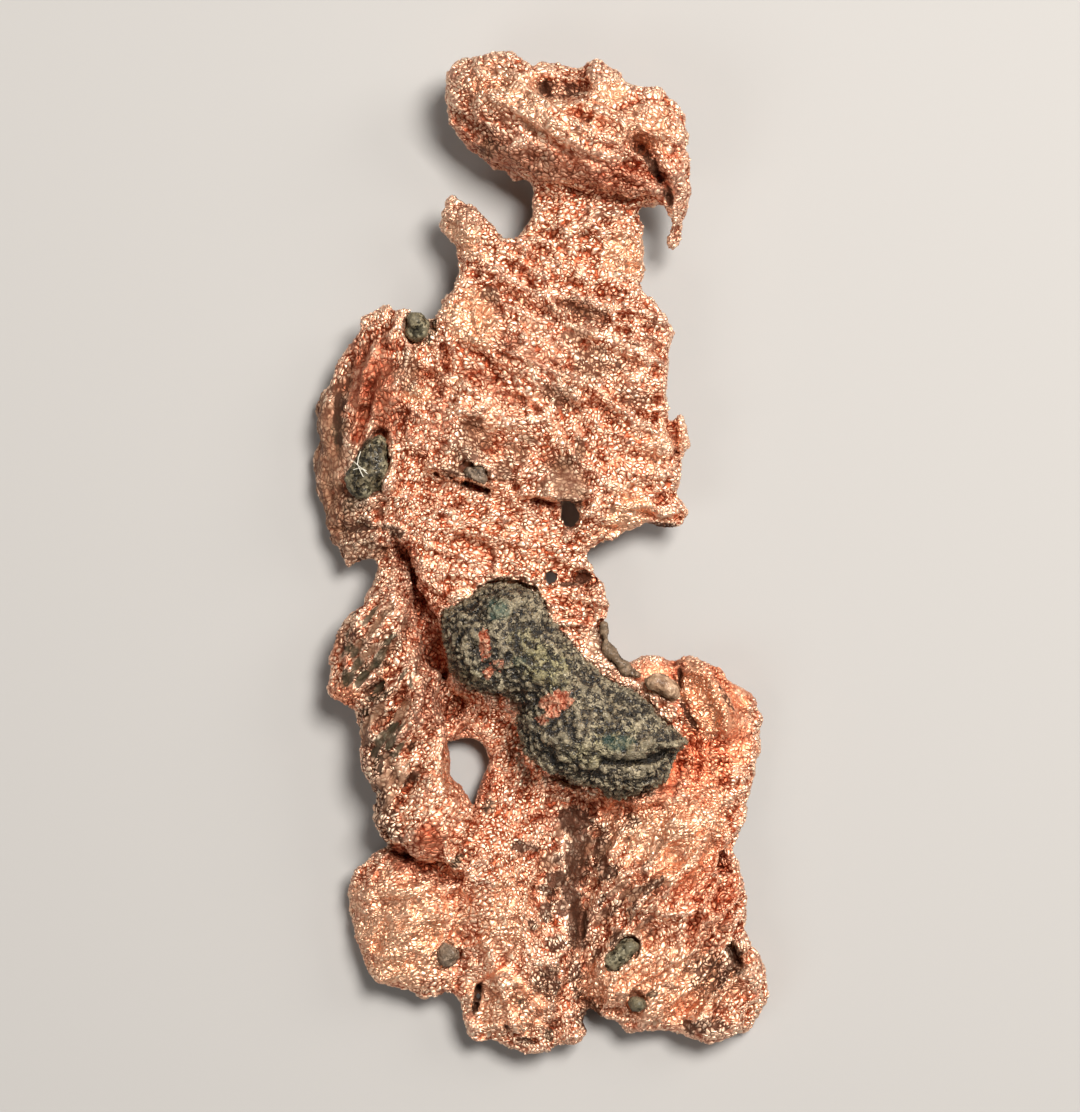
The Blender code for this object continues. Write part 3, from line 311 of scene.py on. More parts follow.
EARTH_PLACES = [
    (-21.4, 10.5, 2.2, 8.4, 0, 1.0), (-20, 3.4, 3.4, 3.0, 20, 0.9), (-18.4, 0.6, 3.6, 2.0, 10, 0.7),
    (-18.4, 8.6, 2.6, 4.2, 14, 0.6), (2.4, 7.3, 2.5, 2.2, 0, 1.0), (-3.3, 8.8, 0.9, 1.2, 0, 0.8),
    (-7.2, 11.4, 2.2, 2.6, 0, 0.7), (-7.4, 8.3, 3.0, 0.7, -12, 0.8), (-4.9, 26.1, 1.1, 0.8, -20, 0.9),
    (5.9, 19.4, 2.4, 1.9, -18, 0.65), (4.6, 24.4, 2.6, 0.9, -14, 0.65), (1.7, 16, 2.0, 1.2, -10, 0.6),
    (4.0, 10.6, 0.5, 1.0, 0, 0.8), (-4.5, 42, 2.4, 0.9, -32, 0.3), (-5.2, 40.6, 1.2, 0.8, 0, 0.8),
    (-13.2, 18.6, 1.6, 1.9, 0, 0.7), (-14.8, -8.7, 1.2, 1.4, 0, 0.7), (-15.2, -22.4, 1.3, 2.4, 8, 0.6),
    (-19.9, -7.8, 1.2, 2.0, 0, 0.55), (5.4, -8.4, 0.7, 1.3, 12, 0.75), (17.2, -42.2, 2.2, 2.2, 0, 0.5),
    (-16.6, -15.6, 1.2, 3.0, 10, 0.5), (9.2, 15.8, 2.2, 1.2, -20, 0.4), (-11.6, 22.9, 1.6, 1.3, 0, 0.7),
    (7.4, 34.2, 2.8, 0.7, -8, 0.35), (-19.6, 17.6, 1.2, 1.6, 0, 0.6), (-1.2, 3.0, 1.2, 0.5, 0, 0.3),
]
GREEN_PLACES = [
    (-18.9, -9.2, 0.7, 0.5, 20, 0.9), (-19.4, -12.2, 0.4, 0.9, 6, 0.9), (-16, -13.4, 0.5, 0.8, 0, 0.8),
    (-16.4, -14, 2.0, 0.5, 20, 0.6), (-17.4, -11.2, 1.2, 0.5, 30, 0.6), (-17.8, -16, 0.6, 0.9, 0, 0.5),
    (-16.2, -20.5, 0.6, 1.6, 0, 0.4), (-5.2, -25.1, 0.9, 0.7, 0, 0.7), (-8.3, -30.8, 0.9, 0.8, 0, 0.9),
    (-2, -45, 0.8, 0.7, 0, 0.6), (0.8, -48.2, 0.7, 0.7, 0, 0.6), (11.4, -43.9, 0.7, 0.5, 0, 0.8),
    (-20.3, 12.2, 0.6, 2.0, 0, 0.5), (-11.0, 22.6, 0.8, 1.4, 0, 0.6), (14.6, -13.2, 0.5, 0.8, 0, 0.3),
    (-18.6, 5.0, 1.2, 0.8, 0, 0.5),
]
# Painted light: lighter copper where more light falls, on the head's upper face, the foot and the curl's
# crests; these places are also a little smoother
PAINTED_LIGHT_PLACES = [
    (-7, 23.4, 2.6, 2.8, 0, 0.9), (-6.5, 24.9, 0.3, 1.9, 0, 1.0), (8.4, 30.4, 2.2, 2.6, 0, 0.8),
    (7, 45.8, 1.8, 1.2, 0, 0.9), (9, 4.4, 2.6, 1.8, 14, 1.0), (15.6, -26, 3.2, 3.6, 0, 0.6),
    (-12, 16.1, 1.6, 0.7, 0, 0.9), (-7.5, 31.6, 2.2, 1.8, -45, 0.8), (14.5, -13.2, 0.4, 2.0, 0, 1.0),
    (15.6, -16.2, 0.4, 1.4, 30, 1.0), (18.0, -14.4, 0.45, 2.6, 28, 1.0), (16.6, -14.2, 1.9, 3.8, 25, 1.2),
    (10.8, 42, 3.2, 2.4, -20, 0.6), (0, 43, 4.2, 1.0, -24, 0.6), (-13.6, -38, 5.5, 5.8, 0, 0.95),
    (12.5, -28.5, 5.5, 4.6, 0, 0.75), (12, -43, 8, 4, 0, 0.6), (-2.4, 46, 5.6, 2.6, -20, 0.5),
    (-3, -45, 5, 3.4, 0, 0.5), (-3.5, -36, 3.4, 5, 0, 0.45), (14.3, -45.3, 0.4, 0.3, 0, 1.0),
    (11.8, 11.2, 1.0, 3.0, -14, 0.5),
]
ROSY_PLACES = [
    (17.4, -17.5, 4.2, 7.5, 0, 1.0), (-13, -38, 5.5, 5.5, 0, 0.3), (12.8, -12, 4.2, 1.6, 0, 0.8),
    (13, -21.5, 1.8, 2.6, -20, 1.0), (9, -25, 4, 1.2, 6, 0.7), (-20.8, 8, 1.6, 7, 0, 0.5),
    (-10.6, -28.2, 2, 2, 0, 0.7), (9.6, 39.5, 4.2, 4, -30, 0.3), (-13, -33, 5, 2, 0, 0.4),
    (17, -33, 3, 6, 0, 0.5), (6, 15.6, 3, 1.4, -20, 0.4), (-19.5, -14, 1.2, 1.2, 0, 0.9),
    (-7, -22, 3, 5, 10, 0.4), (12, -44, 6, 3, 0, 0.3), (-1.7, -43.3, 2.9, 0.4, -49, 1.4),
    (-4.8, -42, 1.5, 0.35, 32, 1.2),
]

# Stains with painted light and shade among them: bright is painted light, red and umber are partly painted
# shade
COPPER_STAINS_LIGHT_AND_SHADE = {
    "red": RED_AND_SHADE_PLACES, "rosy": ROSY_PLACES, "umber_and_shade": UMBER_AND_SHADE_PLACES, "earth": EARTH_PLACES,
    "green": GREEN_PLACES, "bright": PAINTED_LIGHT_PLACES,
}

# The big lump of rock: its creases, and where it is yellow-green, teal, or shows copper
LUMP_CREASES = [
    ([(6.4, -20.3), (8.6, -20.5), (11, -20.2), (13.6, -19.7)], -1.1, 0.42),
    ([(-0.4, -21), (4, -22.5), (7.6, -23.6), (11.6, -23)], 0.35, 0.5),
    ([(0.4, -20), (4.2, -21.3), (7.4, -22.4), (11.8, -21.9)], -0.4, 0.5),
    ([(10.4, -18.6), (13.2, -18.7), (14.4, -18.6)], 0.7, 0.6),
    ([(-8.8, -6.4), (-6.4, -8.4), (-5.2, -11.6)], -0.45, 0.8),
    ([(-4.2, -5), (-1.6, -4.6), (0, -6.4)], 0.5, 0.9),
    ([(0.6, -9.4), (2.6, -12.4), (5.8, -14.2)], 0.45, 1.0),
    ([(-2, -13.4), (1, -14.6), (3, -17)], -0.4, 0.6),
    ([(-1.4, -17.4), (1.4, -19.2), (5, -19.6)], -0.35, 0.7),
]
LUMP_COPPER = [
    (1.5, -14.6, 1.9, 1.2, 34, 1.0), (0.2, -16, 1.0, 0.7, 0, 0.8), (-5.5, -9.0, 0.7, 2.6, 6, 1.0),
    (-4.6, -11, 1.3, 0.9, 0, 0.6), (-2.4, -15.4, 0.5, 1.6, 0, 0.5), (-9, -8, 0.35, 1.4, 0, 0.5),
]
LUMP_GREEN = [
    (0.4, -10.8, 2.6, 2.0, -40, 1.0), (7.4, -18, 2.4, 1.4, -20, 0.7), (4.4, -19.8, 2.6, 1.2, 0, 0.45),
    (-1.6, -8.4, 1.4, 1.2, 0, 0.6), (-6.8, -12, 1.6, 0.9, 0, 0.4),
]
LUMP_TEAL = [(-4, -5.2, 1.1, 0.9, 0, 1.0), (7.6, -18.4, 1.4, 0.8, 0, 0.6), (-2.2, -10.4, 0.7, 0.6, 0, 0.5)]
LUMP_PALE = [
    (-1.4, -5.2, 1.6, 1.2, 0, 0.9), (-8, -9.6, 1.6, 1.6, 0, 0.5), (3.2, -13.2, 1.4, 1.6, 0, 0.4),
    (9.6, -16.6, 2.4, 0.9, -30, 0.6), (6.4, -22.6, 3.4, 0.7, -14, 0.5), (6.5, -17, 4, 2.4, -30, 0.7),
]

LUMP_STAINS = {"copper": LUMP_COPPER, "green": LUMP_GREEN, "teal": LUMP_TEAL, "pale": LUMP_PALE}

# The small rocks: how lumpy they are, then slot, finish, and how far each is grown into its hollow
SMALL_ROCK_LUMPS = 0.3
PEBBLE_LUMPS = 0.12
SMALL_ROCKS = {
    "matrix_patch_left": ("green_rock", "green rock", 0.02),
    "matrix_patch_upper": ("green_rock", "green rock", 0.06),
    "matrix_strip_right": ("green_rock", "brown rock", 0.1),
    "matrix_grain_double": ("green_rock", "green rock", 0.04),
    "matrix_grain_right": ("green_rock", "green rock", 0.22),
    "matrix_chip": ("grey_rock", "grey rock", -0.12),
    "matrix_grain_left": ("grey_rock", "grey rock", 0.16),
    "quartz_pebble": ("brown_quartz", "brown quartz", 0.1),
}

# Their finishes: crystal size, the dark, middle and pale crystals, how many are pale, and the gloss
ROCK_GLOSS = {"Specular_IOR_Level": 0.35}
QUARTZ_GLOSS = {"Coat_Weight": 0.05, "Specular_IOR_Level": 0.3}
ROCK_FINISHES = {
    "green rock": (0.24, (0.017, 0.014, 0.007), (0.07, 0.06, 0.033), (0.27, 0.235, 0.15), 0.12, ROCK_GLOSS),
    "grey rock": (0.24, (0.035, 0.022, 0.014), (0.12, 0.082, 0.055), (0.26, 0.19, 0.135), 0.13, ROCK_GLOSS),
    "brown rock": (0.24, (0.03, 0.017, 0.009), (0.11, 0.068, 0.04), (0.26, 0.18, 0.115), 0.12, ROCK_GLOSS),
    "brown quartz": (0.5, (0.16, 0.085, 0.045), (0.4, 0.24, 0.145), (0.56, 0.38, 0.25), 0.2, QUARTZ_GLOSS),
}

# Threads caught on the left patch: width, how many points of the rock each bend rests on, colour, paths
FIBRE_WIDTH = 0.09
FIBRE_REST = 20
FIBRE_COLOUR = (0.75, 0.72, 0.62, 1)
FIBRES = [
    [(-18.9, 9.6), (-18.5, 9.35), (-18.1, 9.0), (-17.7, 8.7), (-17.3, 8.5)],
    [(-17.9, 10.4), (-18.1, 9.8), (-18.2, 9.2), (-17.9, 8.5), (-17.6, 7.9)],
    [(-18.6, 8.6), (-18.1, 8.75), (-17.6, 8.6), (-17.2, 8.2)],
]


# ---- noise that is the same on every run --------------------------------------------------------

def cell_numbers(cells, seed):
    """Three numbers from 0 to 1 for each cell of a lattice, always the same for the same cell."""
    key = cells[:, 0] * 73856093 ^ cells[:, 1] * 19349663 ^ cells[:, 2] * 83492791 ^ seed * 961748927
    key = ((key ^ (key >> 15)) & 0xFFFFFFFF) * 2246822519 & 0xFFFFFFFF
    key = ((key ^ (key >> 13)) & 0xFFFFFFFF) * 3266489917 & 0xFFFFFFFF
    key ^= key >> 16
    return np.stack([key & 1023, key >> 10 & 1023, key >> 20 & 1023], axis=1) / 1023


def soft_noise(points, size, seed):
    """Smooth noise from -1 to 1 with swells about the given size across."""
    place = points / size
    home = np.floor(place).astype(np.int64)
    share = place - home
    share = share * share * (3 - 2 * share)
    total = np.zeros(len(points))
    for corner in product((0, 1), repeat=3):
        weight = np.ones(len(points))
        for axis in range(3):
            weight *= share[:, axis] if corner[axis] else 1 - share[:, axis]
        total += weight * cell_numbers(home + np.array(corner), seed)[:, 0]
    return total * 2 - 1


def rough_noise(points, size, seed, layers=3):
    """Soft noise with finer and fainter layers on it."""
    total = np.zeros(len(points))
    for layer in range(layers):
        total += soft_noise(points, size / 2 ** layer, seed + layer) / 2 ** layer
    return total


def packed_cells(points, size, seed):
    """Cells packed about a size apart: nearest and second distance, in sizes, and each cell's number."""
    place = points / size
    home = np.floor(place).astype(np.int64)
    nearest = np.full(len(points), 9.0)
    second = np.full(len(points), 9.0)
    number = np.zeros(len(points))
    for step in product((-1, 0, 1), repeat=3):
        cell = home + np.array(step)
        inside = cell_numbers(cell, seed)
        apart = cell + inside - place
        distance = np.sqrt(np.einsum("ij,ij->i", apart, apart))
        closer = distance < nearest
        second = np.where(closer, nearest, np.minimum(second, distance))
        number = np.where(closer, inside[:, 1], number)
        nearest = np.minimum(nearest, distance)
    return nearest, second, number


def warped(points, size, amount, seed):
    """The points pushed about by soft noise, so that what follows them grows crooked."""
    shift = np.stack([soft_noise(points, size, seed + axis) for axis in range(3)], axis=1)
    return points + amount * shift


def smooth_step(value, low, high):
    share = np.clip((value - low) / (high - low), 0, 1)
    return share * share * (3 - 2 * share)


# ---- meshes --------------------------------------------------------------------------------------

def new_object(name, mesh):
    item = bpy.data.objects.new(name, mesh)
    bpy.context.scene.collection.objects.link(item)
    return item


def finished(shape, name):
    """A new object with the bmesh's shape. The bmesh is freed."""
    mesh = bpy.data.meshes.new(name)
    shape.to_mesh(mesh)
    shape.free()
    return new_object(name, mesh)


def merged_copy(node, name):
    """A copy of a CAD node whose loose triangles are welded to one another."""
    shape = bmesh.new()
    shape.from_mesh(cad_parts[node].data)
    bmesh.ops.remove_doubles(shape, verts=shape.verts, dist=0.002 * MM)
    return finished(shape, name)


def applied(item):
    """The object as its modifiers leave it."""
    name = item.name
    graph = bpy.context.evaluated_depsgraph_get()
    mesh = bpy.data.meshes.new_from_object(item.evaluated_get(graph))
    bpy.data.objects.remove(item, do_unlink=True)
    return new_object(name, mesh)


def remeshed(item, voxel, smoothing=0):
    """The object with an even mesh of the given spacing."""
    even = item.modifiers.new("even mesh", "REMESH")
    even.mode = "VOXEL"
    even.voxel_size = voxel * MM
    if smoothing:
        soften = item.modifiers.new("soften", "SMOOTH")
        soften.iterations = smoothing
    return applied(item)


def read_points(mesh):
    points = np.empty(len(mesh.vertices) * 3, np.float32)
    mesh.vertices.foreach_get("co", points)
    return points.reshape(-1, 3).astype(float) / MM


def read_normals(mesh):
    normals = np.empty(len(mesh.vertices) * 3, np.float32)
    mesh.vertex_normals.foreach_get("vector", normals)
    return normals.reshape(-1, 3).astype(float)


def write_points(mesh, points):
    mesh.vertices.foreach_set("co", (points * MM).ravel())
    mesh.update()


def write_mask(mesh, name, values):
    mask = mesh.attributes.get(name) or mesh.attributes.new(name, "FLOAT", "POINT")
    mask.data.foreach_set("value", np.clip(values, 0, 1).astype(np.float32))


def read_mask(mesh, name):
    values = np.empty(len(mesh.vertices), np.float32)
    mesh.attributes[name].data.foreach_get("value", values)
    return values.astype(float)


def write_place(mesh, name, points):
    """Keeps the points, in millimetres, as an attribute that patterns can follow."""
    place = mesh.attributes.new(name, "FLOAT_VECTOR", "POINT")
    place.data.foreach_set("vector", points.astype(np.float32).ravel())


def path_distance(points, path):
    """How far each point is from the path, in plan."""
    nearest = np.full(len(points), np.inf)
    for start, end in zip(path, path[1:]):
        start = np.array(start)
        along = np.array(end) - start
        length = max(along @ along, 1e-9)
        share = np.clip((points[:, :2] - start) @ along / length, 0, 1)
        gap = points[:, :2] - start - share[:, None] * along
        nearest = np.minimum(nearest, np.hypot(gap[:, 0], gap[:, 1]))
    return nearest


def near_path(points, path, reach):
    """Which points lie within reach of the box round the path, in plan."""
    corners = np.array(path)
    above = points[:, :2] > corners.min(axis=0) - reach
    below = points[:, :2] < corners.max(axis=0) + reach
    return np.flatnonzero((above & below).all(axis=1))


def faces_up(normals):
    """1 where the surface faces up, 0 where it faces sideways or down."""
    return smooth_step(normals[:, 2], 0.1, 0.5)


def press(points, normals, creases):
    """Presses folds, ridges and cracks into the upper side."""
    upper = faces_up(normals)
    drop = np.zeros(len(points))
    for path, height, half_width in creases:
        near = near_path(points, path, half_width * 3)
        wander = CREASE_WANDER * half_width * soft_noise(points[near], 1.1, 71)
        across = path_distance(points[near], path) + wander
        drop[near] += height * np.exp(-(across / half_width) ** 2) * upper[near]
    return drop


def inside_oval(points, x, y, half_x, half_y, outer=1.25, inner=0.7):
    """1 inside the oval and 0 outside it, with a soft edge from outer to inner, in half sizes."""
    distance = np.hypot((points[:, 0] - x) / half_x, (points[:, 1] - y) / half_y)
    return smooth_step(distance, outer, inner)


def along_and_across(points, direction):
    """The points' plan turned so that the first coordinate runs in the given direction."""
    turn = radians(direction)
    along = points[:, 0] * np.cos(turn) + points[:, 1] * np.sin(turn)
    across = points[:, 1] * np.cos(turn) - points[:, 0] * np.sin(turn)
    return along, across


def blot(points, places, seed):
    """How much each point belongs to the given oval places, with ragged edges."""
    ragged = STAIN_RAGS * rough_noise(points, 1.3, seed) + STAIN_FRAY * soft_noise(points, 0.45, seed + 9)
    total = np.zeros(len(points))
    for x, y, half_x, half_y, turn, strength in places:
        along, across = along_and_across(points[:, :2] - (x, y), turn)
        distance = np.hypot(along / half_x, across / half_y) + ragged
        total = np.maximum(total, strength * smooth_step(distance, 1.3, 0.55))
    return total


# ---- the copper ----------------------------------------------------------------------------------

def strands(points):
    """Long low ridges that follow the lie of each stretch."""
    total = np.zeros(len(points))
    weights = np.full(len(points), LIE_FADE)
    bent = warped(points, 5, 0.9, 190)
    for seed, (*oval, direction, height, spacing) in enumerate(LIES):
        weight = lie_weight(points, *oval)
        along, across = along_and_across(bent, direction)
        place = np.stack([along / STRAND_LENGTH, across, points[:, 2] * 0.8], axis=1)
        ridge = 1 - 3 * np.abs(rough_noise(place, spacing * 1.9, 200 + 10 * seed, 2))
        total += weight * height * STRAND_GAIN * ridge
        weights += weight
    return total / weights


def lie_weight(points, x, y, half_x, half_y):
    return np.exp(-((points[:, 0] - x) / half_x) ** 2 - ((points[:, 1] - y) / half_y) ** 2)


def lie_place(points):
    """Each point's place in the field of beads, shortened along the lie so that beads grow long that way."""
    moved = np.zeros(points.shape)
    weights = np.full(len(points), LIE_FADE)
    for x, y, half_x, half_y, direction, *_ in LIES:
        weight = lie_weight(points, x, y, half_x, half_y)
        heading = np.array((cos(radians(direction)), sin(radians(direction))))
        along = (points[:, :2] - (x, y)) @ heading
        moved[:, :2] -= (weight * BEAD_STRETCH * along)[:, None] * heading
        weights += weight
    return points + moved / weights[:, None]


def terraces(points):
    """Broken ledges, as where thin sheets end on one another."""
    level = TERRACE_STEPS * rough_noise(points, TERRACE_SIZE, 221, 3)
    whole = np.floor(level)
    return whole + smooth_step(level - whole, 0.78, 0.98) - level


def hackle(points):
    """How deep each point lies in the long hollows of the hackly stretches, in shares of HACKLE_DEPTH."""
    total = np.zeros(len(points))
    for seed, (x, y, half_x, half_y, direction, depth) in enumerate(HACKLES):
        near = near_path(points, [(x - half_x, y - half_y), (x + half_x, y + half_y)], 1)
        here = points[near]
        inside = inside_oval(here, x, y, half_x, half_y, outer=1.3, inner=0.8)
        along, across = along_and_across(here, direction)
        place = np.stack([along / HACKLE_LENGTH, across, here[:, 2] * 0.2], axis=1)
        nearest, _, number = packed_cells(warped(place, 1.2, 0.4, 240), HACKLE_SIZE, 241 + seed)
        hollow = smooth_step(nearest, 0.56, 0.36) * (number > 0.45)
        total[near] = np.maximum(total[near], inside * hollow * depth / HACKLE_DEPTH)
    return total


def shape_copper(item):
    """Folds, cracks, ledges and hollows of the whole sheet."""
    mesh = item.data
    points = read_points(mesh)
    normals = read_normals(mesh)
    upper = faces_up(normals)
    drop = press(points, normals, CREASES)
    for x, y, depth, radius in PITS:
        across = np.hypot(points[:, 0] - x, points[:, 1] - y)
        drop -= depth * np.exp(-(across / radius) ** 2) * upper
    rim = smooth_step(np.abs(normals[:, 2]), 0.75, 0.3)
    rise = SWELL_HEIGHT * rough_noise(points, SWELL_SIZE, 11)
    rise += (strands(points) + TERRACE_HEIGHT * terraces(points)) * (1 - 0.75 * rim)
    rise += rim * (RIM_HEIGHT * soft_noise(points, RIM_SIZE, 15) - RIM_LOSS)
    rise -= HACKLE_DEPTH * hackle(points) * upper
    rise *= np.clip(grain_strength(points) * 1.2, 0.4, 1)
    for *oval, growth in FULLER:
        rise += growth * inside_oval(points, *oval)
    for x, y, reach, push in WIDENED:
        off = points[:, :2] - (x, y)
        distance = np.hypot(off[:, 0], off[:, 1])
        fading = push * np.exp(-(distance / reach) ** 4)
        points[:, :2] += off / (distance[:, None] + 0.3) * fading[:, None]
    points += normals * rise[:, None]
    points[:, 2] += drop
    write_points(mesh, points)
    return item


def knot_copper(item):
    """Knots a millimetre or so across, packed like berries."""
    mesh = item.data
    points = read_points(mesh)
    normals = read_normals(mesh)
    nearest, second, number = packed_cells(warped(points, 1.6, 0.5, 31), KNOT_SIZE, 34)
    dome = np.clip(1 - (nearest / KNOT_REACH) ** 2, 0, 1) * smooth_step(second - nearest, 0, KNOT_GAP)
    strength = grain_strength(points)
    points += normals * (KNOT_HEIGHT * (dome * (0.4 + number) - KNOT_LEVEL) * strength)[:, None]
    write_points(mesh, points)
    return item


def settled(values, edges, rounds):
    """The values of neighbouring points drawn together, round after round."""
    count = np.bincount(edges.ravel(), minlength=len(values))[:, None] + 1
    for _ in range(rounds):
        total = values.copy()
        for axis in range(3):
            total[:, axis] += np.bincount(edges[:, 0], values[edges[:, 1], axis], len(values))
            total[:, axis] += np.bincount(edges[:, 1], values[edges[:, 0], axis], len(values))
        values = total / count
    return values


def hollowness(mesh, fine, broad):
    """How far each point lies in a hollow: 0.5 is level, 1 is deep. The rounds set the width looked at."""
    edges = np.empty(len(mesh.edges) * 2, dtype=np.int32)
    mesh.edges.foreach_get("vertices", edges)
    edges = edges.reshape(-1, 2)
    near = settled(read_points(mesh), edges, fine)
    wide = settled(near, edges, broad)
    depth = ((wide - near) * read_normals(mesh)).sum(axis=1)
    return np.clip(0.5 + depth / HOLLOW_DEPTH, 0, 1)


def grain_strength(points):
    """How strongly the knots and grains stand out at each point: 1 is the usual."""
    strength = 0.9 + 0.25 * soft_noise(points, 5, 41)
    for *oval, share in GRAIN_PLACES:
        strength *= 1 + (share - 1) * inside_oval(points, *oval)
    strength *= 1 - 0.65 * hackle(points)
    return strength * (1 - 0.4 * blot(points, UMBER_AND_SHADE_PLACES, 61))


def grain_copper(item):
    """The crystal grains, by a geometry node modifier that follows the same field as the finish."""
    mesh = item.data
    points = read_points(mesh)
    write_place(mesh, "rest", lie_place(points))
    write_mask(mesh, "strength", grain_strength(points) / 2)
    write_mask(mesh, "seen", smooth_step(read_normals(mesh)[:, 2], -0.5, 0.1))
    item.modifiers.new("crystal grains", "NODES").node_group = grains_on_mesh()
    item = applied(item)
    write_mask(item.data, "hollow", hollowness(item.data, *COPPER_ROUNDS))
    points = read_points(item.data)
    points[:, 2] = np.maximum(points[:, 2], 0)
    write_points(item.data, points)
    return item


def stain_light_and_shade_copper(item):
    """The masks of colour that the finish reads: stains, painted light, and stains that partly hold painted
    shade.
    """
    mesh = item.data
    points = read_points(mesh)
    seen = read_mask(mesh, "seen")
    filled = hackle(points) * seen
    kind = soft_noise(points, 3, 251)
    olive = blot(points, OLIVE_STRETCH, 252)
    fill = {
        "umber_and_shade": 0.6 * filled * (1 - olive) * smooth_step(kind, -0.2, 0.3),
        "earth": filled * smooth_step(kind, 0.35, -0.2),
        "green": filled * olive * smooth_step(kind, -0.05, 0.3),
    }
    for seed, (name, places) in enumerate(COPPER_STAINS_LIGHT_AND_SHADE.items()):
        from_above = np.maximum(blot(points, places, 60 + seed), fill.get(name, 0))
        # The bright mask is painted light, so it lies on the upper side only
        hidden = hidden_stain(points, 160 + seed) if name != "bright" else 0
        write_mask(mesh, name, from_above * seen + hidden * (1 - seen))


def hidden_stain(points, seed):
    """Stains of the underside: scattered patches, a few millimetres across."""
    return 0.8 * smooth_step(rough_noise(points, 7, seed, 4), 0.45, 0.95)


def divided(item):
    """The object cut across its length into closed pieces."""
    rest = bmesh.new()
    rest.from_mesh(item.data)
    pieces = []
    for name, level in DIVISIONS:
        part = rest.copy() if level is not None else rest
        if level is not None:
            cut_off(part, level, keep_above=True)
            cut_off(rest, level, keep_above=False)
        for face in part.faces:
            face.smooth = True
        pieces.append(finished(part, name))
    bpy.data.objects.remove(item, do_unlink=True)
    return pieces


def cut_off(shape, level, keep_above):
    """Cuts the shape straight across, takes one side away and closes the cut with a sharp-edged face."""
    everything = shape.verts[:] + shape.edges[:] + shape.faces[:]
    bmesh.ops.bisect_plane(shape, geom=everything, plane_co=(0, level * MM, 0), plane_no=(0, 1, 0),
                           clear_inner=keep_above, clear_outer=not keep_above)
    rim = [edge for edge in shape.edges if edge.is_boundary]
    for edge in rim:
        edge.smooth = False
    bmesh.ops.holes_fill(shape, edges=rim, sides=0)


def make_copper():
    copper = remeshed(merged_copy("copper_nugget", "copper"), RELIEF_VOXEL, smoothing=2)
    copper = knot_copper(shape_copper(copper))
    copper = grain_copper(remeshed(copper, GRAIN_VOXEL, smoothing=1))
    pieces = divided(copper)
    for piece in pieces:
        stain_light_and_shade_copper(piece)
    return pieces


# ---- the rock ------------------------------------------------------------------------------------

def make_rock(node, voxel, crystal, height, growth, lumps, lump_size, creases=()):
    """A detailed copy of a rock node: slightly grown into its hollow, with crystals all over it."""
    rock = remeshed(merged_copy(node, node + "_rock"), voxel, smoothing=3)
    mesh = rock.data
    points = read_points(mesh)
    normals = read_normals(mesh)
    points[:, 2] += press(points, normals, creases)
    swell = lumps * rough_noise(points, lump_size, 81, 3)
    points += normals * (growth + swell)[:, None]
    crooked = warped(points, crystal * 2, crystal * 0.35, 84)
    nearest, second, number = packed_cells(crooked, crystal, 87)
    facet = smooth_step(second - nearest, 0, 0.25) * (0.3 + 0.7 * number)
    worm = np.abs(soft_noise(crooked, crystal * 0.8, 91))
    points += normals * (height * (facet + 0.6 * worm - 0.6))[:, None]
    write_points(mesh, points)
    write_mask(mesh, "grain", facet)
    write_mask(mesh, "number", number)
    write_mask(mesh, "hollow", hollowness(mesh, *ROCK_ROUNDS))
    mesh.shade_smooth()
    return rock


def make_lump():
    lump = make_rock("matrix_lump", ROCK_VOXEL, crystal=0.62, height=0.46, growth=0.02, lumps=0.42,
                     lump_size=2.4, creases=LUMP_CREASES)
    points = read_points(lump.data)
    for place, (name, places) in enumerate(LUMP_STAINS.items()):
        write_mask(lump.data, name, blot(points, places, 101 + 2 * place))
    return lump


def make_small_rock(node, growth):
    lumps = PEBBLE_LUMPS if node == "quartz_pebble" else SMALL_ROCK_LUMPS
    return make_rock(node, SMALL_ROCK_VOXEL, crystal=0.3, height=0.1, growth=growth, lumps=lumps,
                     lump_size=1.4)


def make_fibres(rock):
    """Pale threads caught on the rough face of a rock."""
    points = read_points(rock.data)
    radius = FIBRE_WIDTH / 2 * MM
    shape = bmesh.new()
    for path in FIBRES:
        spots = []
        for x, y in path:
            nearest = np.argsort(np.hypot(points[:, 0] - x, points[:, 1] - y))[:FIBRE_REST]
            spots.append(Vector((x, y, points[nearest, 2].max() + FIBRE_WIDTH / 2)) * MM)
        for start, end in zip(spots, spots[1:]):
            along = end - start
            turn = along.to_track_quat("Z", "Y").to_matrix().to_4x4()
            middle = Matrix.Translation((start + end) / 2) @ turn
            bmesh.ops.create_cone(shape, cap_ends=True, segments=6, radius1=radius, radius2=radius,
                                  depth=along.length + radius, matrix=middle)
    return finished(shape, "fibres")


# ---- finishes ------------------------------------------------------------------------------------

